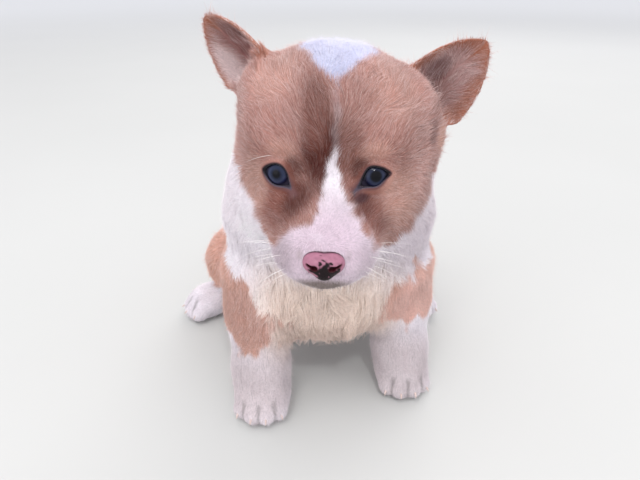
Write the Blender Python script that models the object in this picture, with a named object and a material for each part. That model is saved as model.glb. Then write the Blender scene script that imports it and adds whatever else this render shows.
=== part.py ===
"""A seated Pembroke Welsh Corgi puppy about seven weeks old, as a still, life-size model.

Metres, +Z up. The puppy looks along -Y and its own left side is +X. The origin is on the floor,
in the middle of the flat that the rump rests on.

The flesh and its short coat are one smooth form, blended from ellipsoids and tapered limbs. It is
sampled on a grid, skinned, and parted with thin plane cuts into the pieces a person would name.
"""

import math

import bmesh
import bpy
import numpy as np
from mathutils import Matrix, Vector

# Space between touching pieces
GAP = 0.0003

# An edge shorter than this where a cut pinches a piece is closed up
SLIVER = 0.00005

# How the form is sampled and skinned
GRID_CELL = 0.0022
GRID_MARGIN = 0.008
SETTLING_STEPS = 3
BODY_TRIANGLES = 5200
ROUND_CUT_RINGS = 8

# Where the trunk stands
PELVIS = (0.000, 0.002, 0.048)
BELLY = (0.000, -0.046, 0.076)
CHEST = (0.000, -0.096, 0.092)
WITHERS = (0.000, -0.070, 0.114)
NAPE = (0.001, -0.088, 0.146)
TAIL_ROOT = (0.000, 0.044, 0.030)
TAIL_TIP = (0.002, 0.066, 0.036)

# The head turns and leans a little about the middle of the skull
SKULL = (0.002, -0.108, 0.165)
HEAD_TURN = math.radians(-3.0)
HEAD_LEAN = math.radians(1.2)
HEAD_NOD = math.radians(0.0)

# Eyes, in the head's own frame
EYE_RADIUS = 0.0088
EYE_RINGS = 10
EYE_SIDE = 0.0218
EYE_FORWARD = -0.0352
EYE_HEIGHT = -0.0064
EYE_OUTWARD = math.radians(16.0)
LID_THICKNESS = 0.0013
LID_WIDTH = 0.0134
LID_HEIGHT = 0.0120
LID_RIM = 0.0058
LID_SLANT_DEGREES = 20.0
LID_SLANT = math.radians(LID_SLANT_DEGREES)
ORBIT_FORWARD = 0.0150
ORBIT_RADII = (0.0135, 0.0080, 0.0095)
LID_POINTS = 14

# Mouth, in the head's own frame
MOUTH_CORNER = (0.0, -0.0360, -0.0420)
MOUTH_SLOPE = math.radians(9.0)
JAW = (0.0, -0.0520, -0.0460)
JAW_RADII = (0.0300, 0.0250, 0.0140)

# Nose leather, in the head's own frame
NOSE = (0.0, -0.0730, -0.0342)
NOSE_CELL = 0.0010
NOSE_TRIANGLES = 420

# Ears
EAR_WIDTH = 0.0215
EAR_CUP = 0.0110
EAR_RIM = 0.0024
EAR_ROOT_SINK = 0.012
EAR_CUTTER = ((-0.027, -0.030, 0.0060), (0.027, 0.0045, 0.0600))
EAR_ROWS = 9
EAR_COLUMNS = 8

# Long hair, in flat locks that rise from a core of flesh and close fur
CORE_DEPTH = 0.0030
LOCK_STEPS = 12
LOCK_SINK = 0.0026
LOCK_LIFT = 0.0034
LOCK_CLEAR = 0.0034
LOCK_MARGIN = 0.0065
LOCK_THICKNESS = 0.0026
LOCK_STATIONS = ((0, 0.70), (5, 1.00), (9, 0.62))
BIB_ROWS = ((0.1120, 62.0, 74.0, 2), (0.0985, 0.0, 66.0, 8), (0.0870, 0.0, 58.0, 7),
            (0.0755, 0.0, 50.0, 6), (0.0640, 0.0, 34.0, 5))
BIB_AXIS_Y = -0.095
BIB_LENGTH, BIB_WIDTH = 0.0250, 0.0120
CHEEK_ROWS = (5, 4)
CHEEK_LENGTH, CHEEK_WIDTH = 0.0200, 0.0110
TAIL_LOCKS = (6, 5)
TAIL_LENGTH, TAIL_WIDTH = 0.0150, 0.0090
TAIL_LIFT = 0.0018

# Claws
CLAW_LENGTH = 0.0042
CLAW_RADIUS = 0.0012

SIDES = {"right": -1, "left": 1}

# Finishes: colour, roughness
FINISHES = {
    "red_coat": ((0.47, 0.22, 0.15), 0.75),
    "white_coat": ((0.78, 0.72, 0.70), 0.75),
    "nose_leather": ((0.62, 0.30, 0.34), 0.45),
    "eye": ((0.03, 0.035, 0.06), 0.10),
    "claw": ((0.60, 0.50, 0.45), 0.40),
}
WHITE_NODES = ("lower_jaw", "neck_and_bib", "foreleg", "forepaw", "hindfoot")


def ellipsoid(centre, radii, turn=(0.0, 0.0, 0.0)):
    """A form: how far points lie outside an ellipsoid, negative inside. Turns are degrees about X, Y, Z."""
    spin = [Matrix.Rotation(math.radians(a), 3, axis) for a, axis in zip(turn, "XYZ")]
    frame = np.array(spin[2] @ spin[1] @ spin[0])
    centre, radii = np.array(centre), np.array(radii)

    def distance(points):
        local = (points - centre) @ frame
        once = np.linalg.norm(local / radii, axis=1)
        twice = np.linalg.norm(local / radii**2, axis=1)
        return once * (once - 1.0) / np.maximum(twice, 1e-9)

    return distance


def limb(start, end, start_radius, end_radius):
    """A form: a round limb that tapers from one ball to another."""
    start, end = np.array(start), np.array(end)
    run = end - start

    def distance(points):
        along = np.clip((points - start) @ run / (run @ run), 0.0, 1.0)
        radius = start_radius + (end_radius - start_radius) * along
        return np.linalg.norm(points - start - along[:, None] * run, axis=1) - radius

    return distance


def blended(forms, softness):
    """A form: the union of forms, with the corners between them filled over about softness."""

    def distance(points):
        total = forms[0](points)
        for form in forms[1:]:
            other = form(points)
            near = np.maximum(softness - np.abs(total - other), 0.0) / softness
            total = np.minimum(total, other) - near * near * softness / 4.0
        return total

    return distance


def hollowed(form, hollow, softness):
    """A form: the first with the second scooped out of it, its edge rounded over about softness."""

    def distance(points):
        solid, void = form(points), -hollow(points)
        near = np.maximum(softness - np.abs(solid - void), 0.0) / softness
        return np.maximum(solid, void) + near * near * softness / 4.0

    return distance


def placed(form, frame):
    """A form moved from its own frame into the world by a matrix."""
    turn, move = np.array(frame.to_3x3()), np.array(frame.translation)
    return lambda points: form((points - move) @ turn)


def head_frame():
    """The head's place: its own -Y is the muzzle and its +Z the crown."""
    turn = Matrix.Rotation(HEAD_TURN, 4, "Z")
    lean = Matrix.Rotation(HEAD_LEAN, 4, "Y")
    nod = Matrix.Rotation(HEAD_NOD, 4, "X")
    return Matrix.Translation(SKULL) @ lean @ turn @ nod


def skinned(form, low, high, cell=GRID_CELL):
    """Points and quads of the closed surface of a form, one point in each grid cell it crosses."""
    axes = [np.arange(a, b + cell, cell) for a, b in zip(low, high)]
    grid = np.stack(np.meshgrid(*axes, indexing="ij"), axis=-1)
    shape = grid.shape[:3]
    depth = np.concatenate([form(slab.reshape(-1, 3)) for slab in grid]).reshape(shape)
    inside = depth < 0.0
    cells = tuple(n - 1 for n in shape)

    def corner(values, at):
        return values[tuple(slice(o, o + n) for o, n in zip(at, cells))]

    corners = [(i, j, k) for i in (0, 1) for j in (0, 1) for k in (0, 1)]
    count_inside = sum(corner(inside, at).astype(int) for at in corners)
    crossed = (count_inside > 0) & (count_inside < len(corners))
    index = np.full(cells, -1)
    index[crossed] = np.arange(crossed.sum())

    total, number = np.zeros((crossed.sum(), 3)), np.zeros(crossed.sum())
    for at in corners:
        for axis in range(3):
            if at[axis]:
                continue
            end = tuple(o + (n == axis) for n, o in enumerate(at))
            first, second = corner(depth, at)[crossed], corner(depth, end)[crossed]
            cuts = (first < 0.0) != (second < 0.0)
            share = np.where(cuts, first / np.where(cuts, first - second, 1.0), 0.0)
            place = np.tile(np.array(at, float), (len(share), 1))
            place[:, axis] += share
            total += place * cuts[:, None]
            number += cuts
    points = (np.argwhere(crossed) + total / number[:, None]) * cell + np.array(low)

    quads = []
    for axis in range(3):
        one, two = (axis + 1) % 3, (axis + 2) % 3
        inner = [slice(1, -1)] * 3
        inner[axis] = slice(0, -1)
        ahead = list(inner)
        ahead[axis] = slice(1, None)
        here, there = inside[tuple(inner)], inside[tuple(ahead)]
        for found, order in ((here & ~there, 1), (there & ~here, -1)):
            base = np.argwhere(found) + [0 if n == axis else 1 for n in range(3)]
            ring = []
            for a, b in ((1, 1), (0, 1), (0, 0), (1, 0))[::order]:
                at = base.copy()
                at[:, one] -= a
                at[:, two] -= b
                ring.append(index[at[:, 0], at[:, 1], at[:, 2]])
            quads.append(np.stack(ring, axis=1))
    quads = np.concatenate(quads)

    step = cell * 0.05
    for _ in range(SETTLING_STEPS):
        slope = np.stack([
            form(points + step * way) - form(points - step * way) for way in np.eye(3)
        ], axis=1) / (2.0 * step)
        size = np.maximum((slope * slope).sum(axis=1), 0.25)
        move = np.clip(form(points), -cell / 2, cell / 2) / size
        points = points - slope * move[:, None]
    return points, quads


def trunk_forms():
    """Rump, belly, ribs and chest of the seated trunk."""
    return [
        ellipsoid(PELVIS, (0.050, 0.048, 0.049)),
        ellipsoid((0.0, 0.010, 0.030), (0.047, 0.042, 0.032)),
        limb((0.0, -0.004, 0.066), (0.0, -0.058, 0.104), 0.044, 0.047),
        ellipsoid(BELLY, (0.053, 0.060, 0.050), (-30.0, 0.0, 0.0)),
        ellipsoid(CHEST, (0.054, 0.048, 0.050)),
        ellipsoid((0.0, -0.122, 0.078), (0.038, 0.026, 0.034)),
        ellipsoid(WITHERS, (0.050, 0.044, 0.040)),
    ]


def neck_forms():
    """The short thick neck and the ruff of fur below the cheeks."""
    return [
        limb(WITHERS, NAPE, 0.044, 0.044),
        ellipsoid((0.001, -0.104, 0.118), (0.062, 0.042, 0.030)),
    ]


def head_forms():
    """The head in its own frame, out to the tips of its short coat."""
    forms = [
        ellipsoid((0.0, 0.004, 0.009), (0.0495, 0.047, 0.0405)),
        ellipsoid((0.0, -0.014, 0.004), (0.042, 0.029, 0.034)),
        ellipsoid((0.0, -0.035, -0.0250), (0.0245, 0.027, 0.0165)),
        ellipsoid((0.0, -0.0560, -0.0325), (0.0185, 0.0185, 0.0140)),
        ellipsoid((0.0, -0.0500, -0.0475), (0.0120, 0.0165, 0.0085)),
    ]
    for side in SIDES.values():
        forms += [
            ellipsoid((side * 0.027, -0.004, -0.024), (0.028, 0.034, 0.031)),
            ellipsoid((side * 0.0200, -0.0225, -0.0225), (0.0210, 0.0215, 0.0185)),
            ellipsoid((side * 0.0215, -0.0315, 0.0050), (0.0125, 0.0100, 0.0095)),
            ellipsoid((side * 0.0118, -0.0530, -0.0372), (0.0128, 0.0165, 0.0108)),
        ]
    forms.append(ellipsoid((-0.0360, 0.0060, 0.0220), (0.0110, 0.0130, 0.0170)))
    forms.append(ellipsoid((0.0450, 0.0050, 0.0080), (0.0150, 0.0150, 0.0260), (0.0, -22.0, 0.0)))
    return forms


def leg_form(limbs, toes):
    """A leg with its toes kept distinct."""
    return blended([blended(limbs, 0.012), blended(toes, 0.0035)], 0.006)


def paw_forms(paw, toe_turn, width, length):
    """The ball of a paw and its four toes, turned about Z by toe_turn degrees."""
    forms = [ellipsoid((paw[0], paw[1], 0.0115), (width, length, 0.0120), (0.0, 0.0, toe_turn))]
    for root, tip in toe_lines(paw, toe_turn):
        forms.append(limb(root, tip, 0.0068, 0.0062))
    return forms


def toe_lines(paw, toe_turn):
    """Root and tip of each toe of a paw."""
    turn = Matrix.Rotation(math.radians(toe_turn), 3, "Z")
    middle = Vector((paw[0], paw[1], 0.0))
    lines = []
    for across, forward in ((-1.0, 0.55), (-0.36, 1.0), (0.36, 1.0), (1.0, 0.55)):
        root = middle + turn @ Vector((across * 0.0085, -0.004, 0.0105))
        tip = middle + turn @ Vector((across * 0.0112, -0.0045 - 0.0095 * forward, 0.0078))
        lines.append((root, tip))
    return lines


def foreleg(shoulder, elbow, wrist, paw, toe_turn):
    """A foreleg from the shoulder to the toes."""
    limbs = [
        limb(shoulder, elbow, 0.0260, 0.0210),
        limb(elbow, wrist, 0.0200, 0.0168),
        limb(wrist, paw, 0.0165, 0.0150),
    ]
    return leg_form(limbs, paw_forms(paw, toe_turn, 0.0172, 0.0162))


def hindleg(hip, knee, hock, foot, toe_turn):
    """A folded hind leg, with its foot flat on the floor."""
    hip_point, knee_point = Vector(hip), Vector(knee)
    thigh = (hip_point + knee_point) / 2.0
    along = knee_point - hip_point
    turn = math.degrees(math.atan2(along.y, along.x))
    limbs = [
        limb(hip, knee, 0.0320, 0.0220),
        ellipsoid(thigh, (0.044, 0.030, 0.040), (0.0, 0.0, turn)),
        limb(knee, hock, 0.0225, 0.0160),
        limb(hock, foot, 0.0145, 0.0125),
    ]
    return leg_form(limbs, paw_forms(foot, toe_turn, 0.0160, 0.0150))


FORELEGS = {
    "right": dict(shoulder=(-0.040, -0.108, 0.080), elbow=(-0.0415, -0.116, 0.058),
                  wrist=(-0.0405, -0.135, 0.026), paw=(-0.0395, -0.1425, 0.014), toe_turn=-4.0),
    "left": dict(shoulder=(0.042, -0.102, 0.080), elbow=(0.0455, -0.104, 0.058),
                 wrist=(0.0485, -0.115, 0.026), paw=(0.0500, -0.1215, 0.014), toe_turn=6.0),
}
HINDLEGS = {
    "right": dict(hip=(-0.026, 0.002, 0.048), knee=(-0.067, -0.044, 0.050),
                  hock=(-0.056, -0.022, 0.0165), foot=(-0.094, -0.044, 0.012), toe_turn=-66.0),
    "left": dict(hip=(0.026, 0.004, 0.048), knee=(0.059, -0.044, 0.050),
                 hock=(0.058, 0.000, 0.0165), foot=(0.071, -0.042, 0.012), toe_turn=18.0),
}


def in_zone(points, centre, radii):
    """How far points lie in an ellipsoid's zone: 1 at its middle, falling softly to 0 at its edge."""
    far = np.linalg.norm((points - np.array(centre)) / np.array(radii), axis=1)
    near = np.clip(1.6 - 1.6 * far, 0.0, 1.0)
    return near * near * (3.0 - 2.0 * near)


def core_depth(points):
    """How far the core lies below the tips of the coat, where the coat is long."""
    bib = in_zone(points, (0.0, -0.130, 0.082), (0.068, 0.060, 0.055))
    right = in_zone(points, (-0.056, -0.104, 0.142), (0.034, 0.040, 0.050))
    left = in_zone(points, (0.060, -0.104, 0.142), (0.034, 0.040, 0.050))
    tail = in_zone(points, TAIL_TIP, (0.030, 0.024, 0.030))
    return CORE_DEPTH * np.maximum(np.maximum(bib, tail), np.maximum(right, left))


def body_form():
    """The whole animal but for ears, eyes, nose, claws and locks."""
    tail = limb(TAIL_ROOT, TAIL_TIP, 0.0125, 0.0100)
    trunk = blended(trunk_forms() + neck_forms(), 0.022)
    face = blended(head_forms(), 0.015)
    for side in SIDES.values():
        face = hollowed(face, orbit(side), 0.006)
    head = placed(face, head_frame())
    whole = blended([blended([trunk, tail], 0.010), head], 0.020)
    for side in SIDES:
        whole = blended([whole, foreleg(**FORELEGS[side])], 0.016)
    for side in SIDES:
        whole = blended([whole, hindleg(**HINDLEGS[side])], 0.018)
    return lambda points: whole(points) + core_depth(points)


def slope(form, points, step=0.0004):
    """Unit outward normals of a form at points."""
    rise = np.stack([form(points + step * way) - form(points - step * way) for way in np.eye(3)], axis=1)
    return rise / np.maximum(np.linalg.norm(rise, axis=1), 1e-9)[:, None]


def locks(form, roots, ways, lengths, widths, draw, over_others=None, lift=LOCK_LIFT):
    """Flat, tapered locks of hair: each starts below the surface, follows it and lifts towards its tip.

    over_others tells which points lie over another piece: a lock stays clear of the surface there,
    and none starts there.
    """
    roots, ways = np.array(roots, float), np.array(ways, float)
    lengths, widths = np.array(lengths, float), np.array(widths, float)
    points = roots - slope(form, roots) * form(roots)[:, None]
    if over_others is not None:
        own = ~over_others(points)
        points, ways, lengths, widths = points[own], ways[own], lengths[own], widths[own]
    line, out, side = [], [], []
    clear = np.zeros(len(points), bool)
    for step in range(LOCK_STEPS + 1):
        share = step / LOCK_STEPS
        up = slope(form, points)
        along = ways - up * (ways * up).sum(axis=1)[:, None]
        along /= np.linalg.norm(along, axis=1)[:, None]
        height = np.full(len(points), -LOCK_SINK + (LOCK_SINK + lift) * share ** 0.8)
        if over_others is not None:
            over = over_others(points)
            height = np.where(over, np.maximum(height, LOCK_CLEAR), height)
            clear |= over
        points = points + up * (height - form(points))[:, None]
        line.append(points)
        out.append(up)
        side.append(np.cross(along, up))
        points = points + along * (lengths / LOCK_STEPS)[:, None]
    made = []
    for n in range(len(widths)):
        ring, faces = [], []
        lean = draw.uniform(-0.2, 0.2) * (not clear[n])
        for step, swell in LOCK_STATIONS:
            across = side[step][n] + out[step][n] * lean
            half = across * widths[n] * swell / 2.0
            thick = out[step][n] * LOCK_THICKNESS * swell / 2.0
            ring += [line[step][n] - half, line[step][n] - thick * 0.6, line[step][n] + half, line[step][n] + thick]
        ring.append(line[LOCK_STEPS][n])
        last = 4 * (len(LOCK_STATIONS) - 1)
        faces.append([3, 2, 1, 0])
        for level in range(len(LOCK_STATIONS) - 1):
            for k in range(4):
                a, b = 4 * level + k, 4 * level + (k + 1) % 4
                faces.append([a, b, b + 4, a + 4])
        faces += [[last + k, last + (k + 1) % 4, len(ring) - 1] for k in range(4)]
        made.append(mesh_object("lock", ring, faces))
    return made


def in_ball(points, centre, radii, turn, margin=0.0):
    """Which points lie in an ellipsoid cutter made wider by a margin."""
    return ellipsoid(centre, [radius + margin for radius in radii], turn)(points) < 0.0


def over_forelegs(points):
    """Which points lie over a foreleg's own piece."""
    return (in_ball(points, *ROUND_CUTS["foreleg_right"], LOCK_MARGIN)
            | in_ball(points, *ROUND_CUTS["foreleg_left"], LOCK_MARGIN))


def below_head(points):
    """Which points lie past the seam between head and neck."""
    point, way = PLANE_CUTS["head"][:2]
    way = np.array(way) / np.linalg.norm(way)
    return (points - np.array(point)) @ way < LOCK_MARGIN


def bib_locks(form, draw):
    """The bib: rows of locks that hang down the throat and the chest."""
    roots, ways, lengths, widths = [], [], [], []
    for height, inner, outer, count in BIB_ROWS:
        if inner > 0.0:
            angles = [sign * angle for sign in (-1, 1) for angle in np.linspace(inner, outer, count)]
        else:
            angles = np.linspace(-outer, outer, count)
        for angle in angles:
            turn = math.radians(angle + draw.uniform(-2.5, 2.5))
            way = np.array((math.sin(turn), -math.cos(turn), 0.0))
            point = np.array((0.0, BIB_AXIS_Y, height + draw.uniform(-0.002, 0.002))) + way * 0.09
            for _ in range(12):
                point = point - way * form(point[None])[0] * 0.9
            roots.append(point)
            ways.append((-0.10 * math.sin(turn) + draw.uniform(-0.10, 0.10), -0.15, -1.0))
            lengths.append(BIB_LENGTH * draw.uniform(0.85, 1.12))
            widths.append(BIB_WIDTH * draw.uniform(0.85, 1.10))
    return locks(form, roots, ways, lengths, widths, draw, over_forelegs)


def cheek_locks(form, draw):
    """The ruff: locks that run back and down from each cheek, in two rows."""
    roots, ways, lengths, widths = [], [], [], []
    for side in SIDES.values():
        for row, count in enumerate(CHEEK_ROWS):
            for n in range(count):
                share = (n + 0.5 * row) / (CHEEK_ROWS[0] - 1)
                forward = -0.126 + 0.016 * row - 0.010 * share
                point = np.array((side * 0.085, forward, 0.176 - 0.046 * share))
                inward = np.array((-side, 0.0, 0.0))
                for _ in range(12):
                    point = point + inward * form(point[None])[0] * 0.9
                roots.append(point)
                ways.append((side * 0.2, 0.45 - 0.30 * share + draw.uniform(-0.08, 0.08), -1.0))
                lengths.append(CHEEK_LENGTH * draw.uniform(0.90, 1.10))
                widths.append(CHEEK_WIDTH * draw.uniform(0.90, 1.10))
    return locks(form, roots, ways, lengths, widths, draw, below_head)


def tail_locks(form, draw):
    """The tuft round the tail and past its tip."""
    root, tip = np.array(TAIL_ROOT), np.array(TAIL_TIP)
    run = (tip - root) / np.linalg.norm(tip - root)
    across = np.cross(run, (0.0, 0.0, 1.0))
    up = np.cross(across, run)
    roots, ways, lengths, widths = [], [], [], []
    for row, count in enumerate(TAIL_LOCKS):
        for n in range(count):
            angle = 2.0 * math.pi * (n + 0.5 * row) / count
            way = across * math.cos(angle) + up * math.sin(angle)
            roots.append(root + run * (0.012 + 0.008 * row) + way * 0.011)
            ways.append(run)
            lengths.append(TAIL_LENGTH * draw.uniform(0.9, 1.1))
            widths.append(TAIL_WIDTH * draw.uniform(0.9, 1.1))
    return locks(form, roots, ways, lengths, widths, draw, None, TAIL_LIFT)


def mesh_object(name, points, faces):
    """A new object in the scene, made from points and faces."""
    mesh = bpy.data.meshes.new(name)
    mesh.from_pydata([tuple(p) for p in points], [], [tuple(int(i) for i in f) for f in faces])
    mesh.update()
    obj = bpy.data.objects.new(name, mesh)
    bpy.context.scene.collection.objects.link(obj)
    return obj


def triangulated(obj):
    """Splits an object's faces into triangles."""
    bm = bmesh.new()
    bm.from_mesh(obj.data)
    bmesh.ops.triangulate(bm, faces=bm.faces)
    bm.to_mesh(obj.data)
    bm.free()
    return obj


def settle(obj):
    """Replaces an object's mesh by what its modifiers make of it."""
    bpy.context.view_layer.update()
    graph = bpy.context.evaluated_depsgraph_get()
    mesh = bpy.data.meshes.new_from_object(obj.evaluated_get(graph))
    old = obj.data
    obj.modifiers.clear()
    obj.data = mesh
    bpy.data.meshes.remove(old)
    return obj


def thinned(obj, triangles):
    """Reduces an object to about this many triangles, keeping its form."""
    count = sum(len(face.vertices) - 2 for face in obj.data.polygons)
    modifier = obj.modifiers.new("Thin", "DECIMATE")
    modifier.ratio = min(1.0, triangles / count)
    return settle(obj)


def joined(obj, other, operation, solver="EXACT"):
    """Joins, cuts or keeps what two closed objects share. The other object is used up."""
    modifier = obj.modifiers.new(operation, "BOOLEAN")
    modifier.operation = operation
    modifier.solver = solver
    modifier.object = other
    settle(obj)
    bpy.data.objects.remove(other)
    return obj


def copied(obj, name):
    """A copy of an object with its own mesh."""
    twin = obj.copy()
    twin.data = obj.data.copy()
    twin.name = name
    bpy.context.scene.collection.objects.link(twin)
    return twin


def grown(obj, by):
    """Moves an object's surface outwards by a small distance."""
    bm = bmesh.new()
    bm.from_mesh(obj.data)
    bm.normal_update()
    moves = [vert.co + vert.normal * by * vert.calc_shell_factor() for vert in bm.verts]
    for vert, place in zip(bm.verts, moves):
        vert.co = place
    bm.to_mesh(obj.data)
    bm.free()
    return obj


def ball(name, centre, radius, rings=12):
    """A round ball."""
    bm = bmesh.new()
    bmesh.ops.create_uvsphere(bm, u_segments=2 * rings, v_segments=rings, radius=radius)
    mesh = bpy.data.meshes.new(name)
    bm.to_mesh(mesh)
    bm.free()
    mesh.transform(Matrix.Translation(centre))
    obj = bpy.data.objects.new(name, mesh)
    bpy.context.scene.collection.objects.link(obj)
    return obj


def block(name, frame, low, high):
    """A box between two corners of a frame."""
    bm = bmesh.new()
    bmesh.ops.create_cube(bm, size=1.0)
    size = [b - a for a, b in zip(low, high)]
    middle = [(a + b) / 2.0 for a, b in zip(low, high)]
    bmesh.ops.scale(bm, vec=size, verts=bm.verts)
    bmesh.ops.translate(bm, vec=middle, verts=bm.verts)
    mesh = bpy.data.meshes.new(name)
    bm.to_mesh(mesh)
    bm.free()
    mesh.transform(frame)
    obj = bpy.data.objects.new(name, mesh)
    bpy.context.scene.collection.objects.link(obj)
    return obj


def frame_along(point, axis, facing):
    """A frame at a point whose Z runs along an axis and whose Y leans to a facing direction."""
    up = Vector(axis).normalized()
    front = Vector(facing) - up * Vector(facing).dot(up)
    front.normalize()
    side = front.cross(up)
    turn = Matrix((side, front, up)).transposed().to_4x4()
    return Matrix.Translation(point) @ turn


def eye_frame(side):
    """An eye's place: its centre, with Z along its line of sight and Y up."""
    head = head_frame()
    centre = Vector((side * EYE_SIDE, EYE_FORWARD, EYE_HEIGHT))
    sight = Vector((side * math.sin(EYE_OUTWARD), -math.cos(EYE_OUTWARD), 0.0))
    return head @ frame_along(centre, sight, (0.0, 0.0, 1.0))


def lid_opening(side):
    """The almond between the lids, as a cutter that flares with the ball. Its inner corner sits lower."""
    slant = Matrix.Rotation(side * LID_SLANT, 3, "Z")
    outline = []
    for n in range(LID_POINTS):
        angle = 2.0 * math.pi * n / LID_POINTS
        across, up = math.cos(angle) * side, math.sin(angle)
        width = LID_WIDTH / 2.0 * (1.10 if across * side < -0.95 else 1.0)
        height = LID_HEIGHT / 2.0 * (1.04 if up > 0.0 else 0.90) * (1.0 - 0.22 * abs(across) ** 3)
        outline.append(slant @ Vector((across * width, up * height, 0.0)))
    levels = ((0.27, 0.27), (1.14, 1.14), (2.20, 1.30))
    points = [spot * scale + Vector((0, 0, depth * LID_RIM)) for depth, scale in levels for spot in outline]
    faces = [list(range(LID_POINTS))[::-1], [2 * LID_POINTS + n for n in range(LID_POINTS)]]
    for level in range(len(levels) - 1):
        for n in range(LID_POINTS):
            a, b = level * LID_POINTS + n, level * LID_POINTS + (n + 1) % LID_POINTS
            faces.append([a, b, b + LID_POINTS, a + LID_POINTS])
    if side < 0:
        faces = [face[::-1] for face in faces]
    cutter = mesh_object("lid_opening", points, faces)
    cutter.data.transform(eye_frame(side))
    return cutter


def nose_form():
    """The nose leather in the head's own frame, with its two nostrils."""
    middle = Vector(NOSE)
    pad = [
        ellipsoid(middle, (0.0080, 0.0068, 0.0054)),
        ellipsoid(middle + Vector((0.0, -0.0030, -0.0038)), (0.0040, 0.0045, 0.0034)),
    ]
    nostrils = []
    for side in SIDES.values():
        lobe = middle + Vector((side * 0.0044, -0.0022, 0.0010))
        hole = middle + Vector((side * 0.0038, -0.0082, -0.0020))
        slit = middle + Vector((side * 0.0068, -0.0068, -0.0030))
        pad.append(ellipsoid(lobe, (0.0048, 0.0052, 0.0042)))
        nostrils.append(ellipsoid(hole, (0.0016, 0.0034, 0.0013), (0.0, -side * 20.0, 0.0)))
        nostrils.append(ellipsoid(slit, (0.0028, 0.0022, 0.0006), (0.0, side * 16.0, 0.0)))
    return hollowed(blended(pad, 0.0025), blended(nostrils, 0.001), 0.0008)


def orbit(side):
    """The shallow hollow of the face in front of an eye, in the head's own frame."""
    sight = Vector((side * math.sin(EYE_OUTWARD), -math.cos(EYE_OUTWARD), 0.0))
    centre = Vector((side * EYE_SIDE, EYE_FORWARD, EYE_HEIGHT)) + sight * ORBIT_FORWARD
    return ellipsoid(centre, ORBIT_RADII, (0.0, side * LID_SLANT_DEGREES, side * 16.0))


EARS = {
    "right": dict(base=(-0.0405, -0.098, 0.1930), tip=(-0.0636, -0.090, 0.2235),
                  opening=(-0.80, -0.62, 0.05)),
    "left": dict(base=(0.0510, -0.098, 0.1780), tip=(0.0815, -0.098, 0.2125),
                 opening=(0.15, -1.0, 0.10)),
}


def ear_frame(base, tip, opening):
    """An ear's place: Z runs up to its tip and Y is the way its cup opens."""
    return frame_along(base, Vector(tip) - Vector(base), opening)


def ear(name, base, tip, opening):
    """An ear: a pointed, cupped leaf, thick at its root and thin at its rim."""
    length = (Vector(tip) - Vector(base)).length
    rows = [-EAR_ROOT_SINK / length] + [n / EAR_ROWS for n in range(EAR_ROWS)] + [0.955, 0.99]
    columns = [2.0 * n / EAR_COLUMNS - 1.0 for n in range(EAR_COLUMNS + 1)]
    points, faces = [], []
    for t in rows:
        width = EAR_WIDTH * (1.0 - max(t, 0.0) ** 2.3) ** 0.72 * (1.0 - 1.6 * max(0.16 - t, 0.0))
        for s in columns:
            cup = EAR_CUP * (1.0 - max(t, 0.0)) ** 0.7 * (1.0 - s * s)
            thick = EAR_RIM + 0.0030 * (1.0 - max(t, 0.0)) * (1.0 - s * s)
            points.append(Vector((s * width, -cup + thick / 2.0, t * length)))
            points.append(Vector((s * width, -cup - thick / 2.0, t * length)))
    across = len(columns)

    def at(row, column, back):
        return 2 * (row * across + column) + back

    for row in range(len(rows) - 1):
        for column in range(across - 1):
            faces.append([at(row, column, 0), at(row + 1, column, 0),
                          at(row + 1, column + 1, 0), at(row, column + 1, 0)])
            faces.append([at(row, column, 1), at(row, column + 1, 1),
                          at(row + 1, column + 1, 1), at(row + 1, column, 1)])
        for column, turn in ((0, 1), (across - 1, -1)):
            rim = [at(row, column, 1), at(row + 1, column, 1), at(row + 1, column, 0), at(row, column, 0)]
            faces.append(rim[::turn])
    for row, turn in ((0, 1), (len(rows) - 1, -1)):
        for column in range(across - 1):
            end = [at(row, column, 0), at(row, column + 1, 0), at(row, column + 1, 1), at(row, column, 1)]
            faces.append(end[::turn])
    leaf = mesh_object(name, points, faces)
    leaf.data.transform(ear_frame(base, tip, opening))
    return triangulated(leaf)


def claws(body, name, paw, toe_turn):
    """The four claws of a paw, each a hair's breadth off its toe."""
    for number, (root, tip) in enumerate(toe_lines(paw, toe_turn), 1):
        way = (tip - root).normalized()
        found, place, normal, _ = body.ray_cast(tip + way * 0.03 + Vector((0, 0, 0.0022)), -way)
        if not found:
            continue
        out = (normal + Vector((0, 0, -0.25))).normalized()
        frame = frame_along(place + normal * GAP, out, (0.0, 0.0, 1.0))
        sides, levels = 5, ((0.0, 1.0, 0.0), (0.55, 0.75, -0.0002), (1.0, 0.18, -0.0012))
        points, faces = [], [list(range(sides))[::-1]]
        for along, width, droop in levels:
            for n in range(sides):
                angle = 2.0 * math.pi * n / sides
                points.append(frame @ Vector((math.cos(angle) * CLAW_RADIUS * width,
                                              math.sin(angle) * CLAW_RADIUS * width + droop,
                                              along * CLAW_LENGTH)))
        for level in range(len(levels) - 1):
            for n in range(sides):
                a, b = level * sides + n, level * sides + (n + 1) % sides
                faces.append([a, b, b + sides, a + sides])
        faces.append([(len(levels) - 1) * sides + n for n in range(sides)])
        mesh_object(f"{name}_claw_{number}", points, faces)


# Pieces parted by a plane: a point on the cut, the way that the piece lies from it, and how far
# the cutter reaches across and along the cut and away from it
PLANE_CUTS = {
    "head": ((0.0, -0.100, 0.1420), (0.0, -0.507, 0.862), 0.14, 0.14, 0.14),
    "neck_and_bib": ((0.0, -0.048, 0.1500), (0.0, -0.832, 0.555), 0.14, 0.16, 0.12),
    "tail": ((0.0, 0.0470, 0.0310), (0.03, 0.93, 0.26), 0.022, 0.022, 0.05),
    "forepaw_right": ((-0.0400, -0.1340, 0.0270), (0.0, -0.25, -1.0), 0.030, 0.040, 0.05),
    "forepaw_left": ((0.0490, -0.1140, 0.0270), (0.0, -0.20, -1.0), 0.030, 0.040, 0.05),
}

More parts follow.
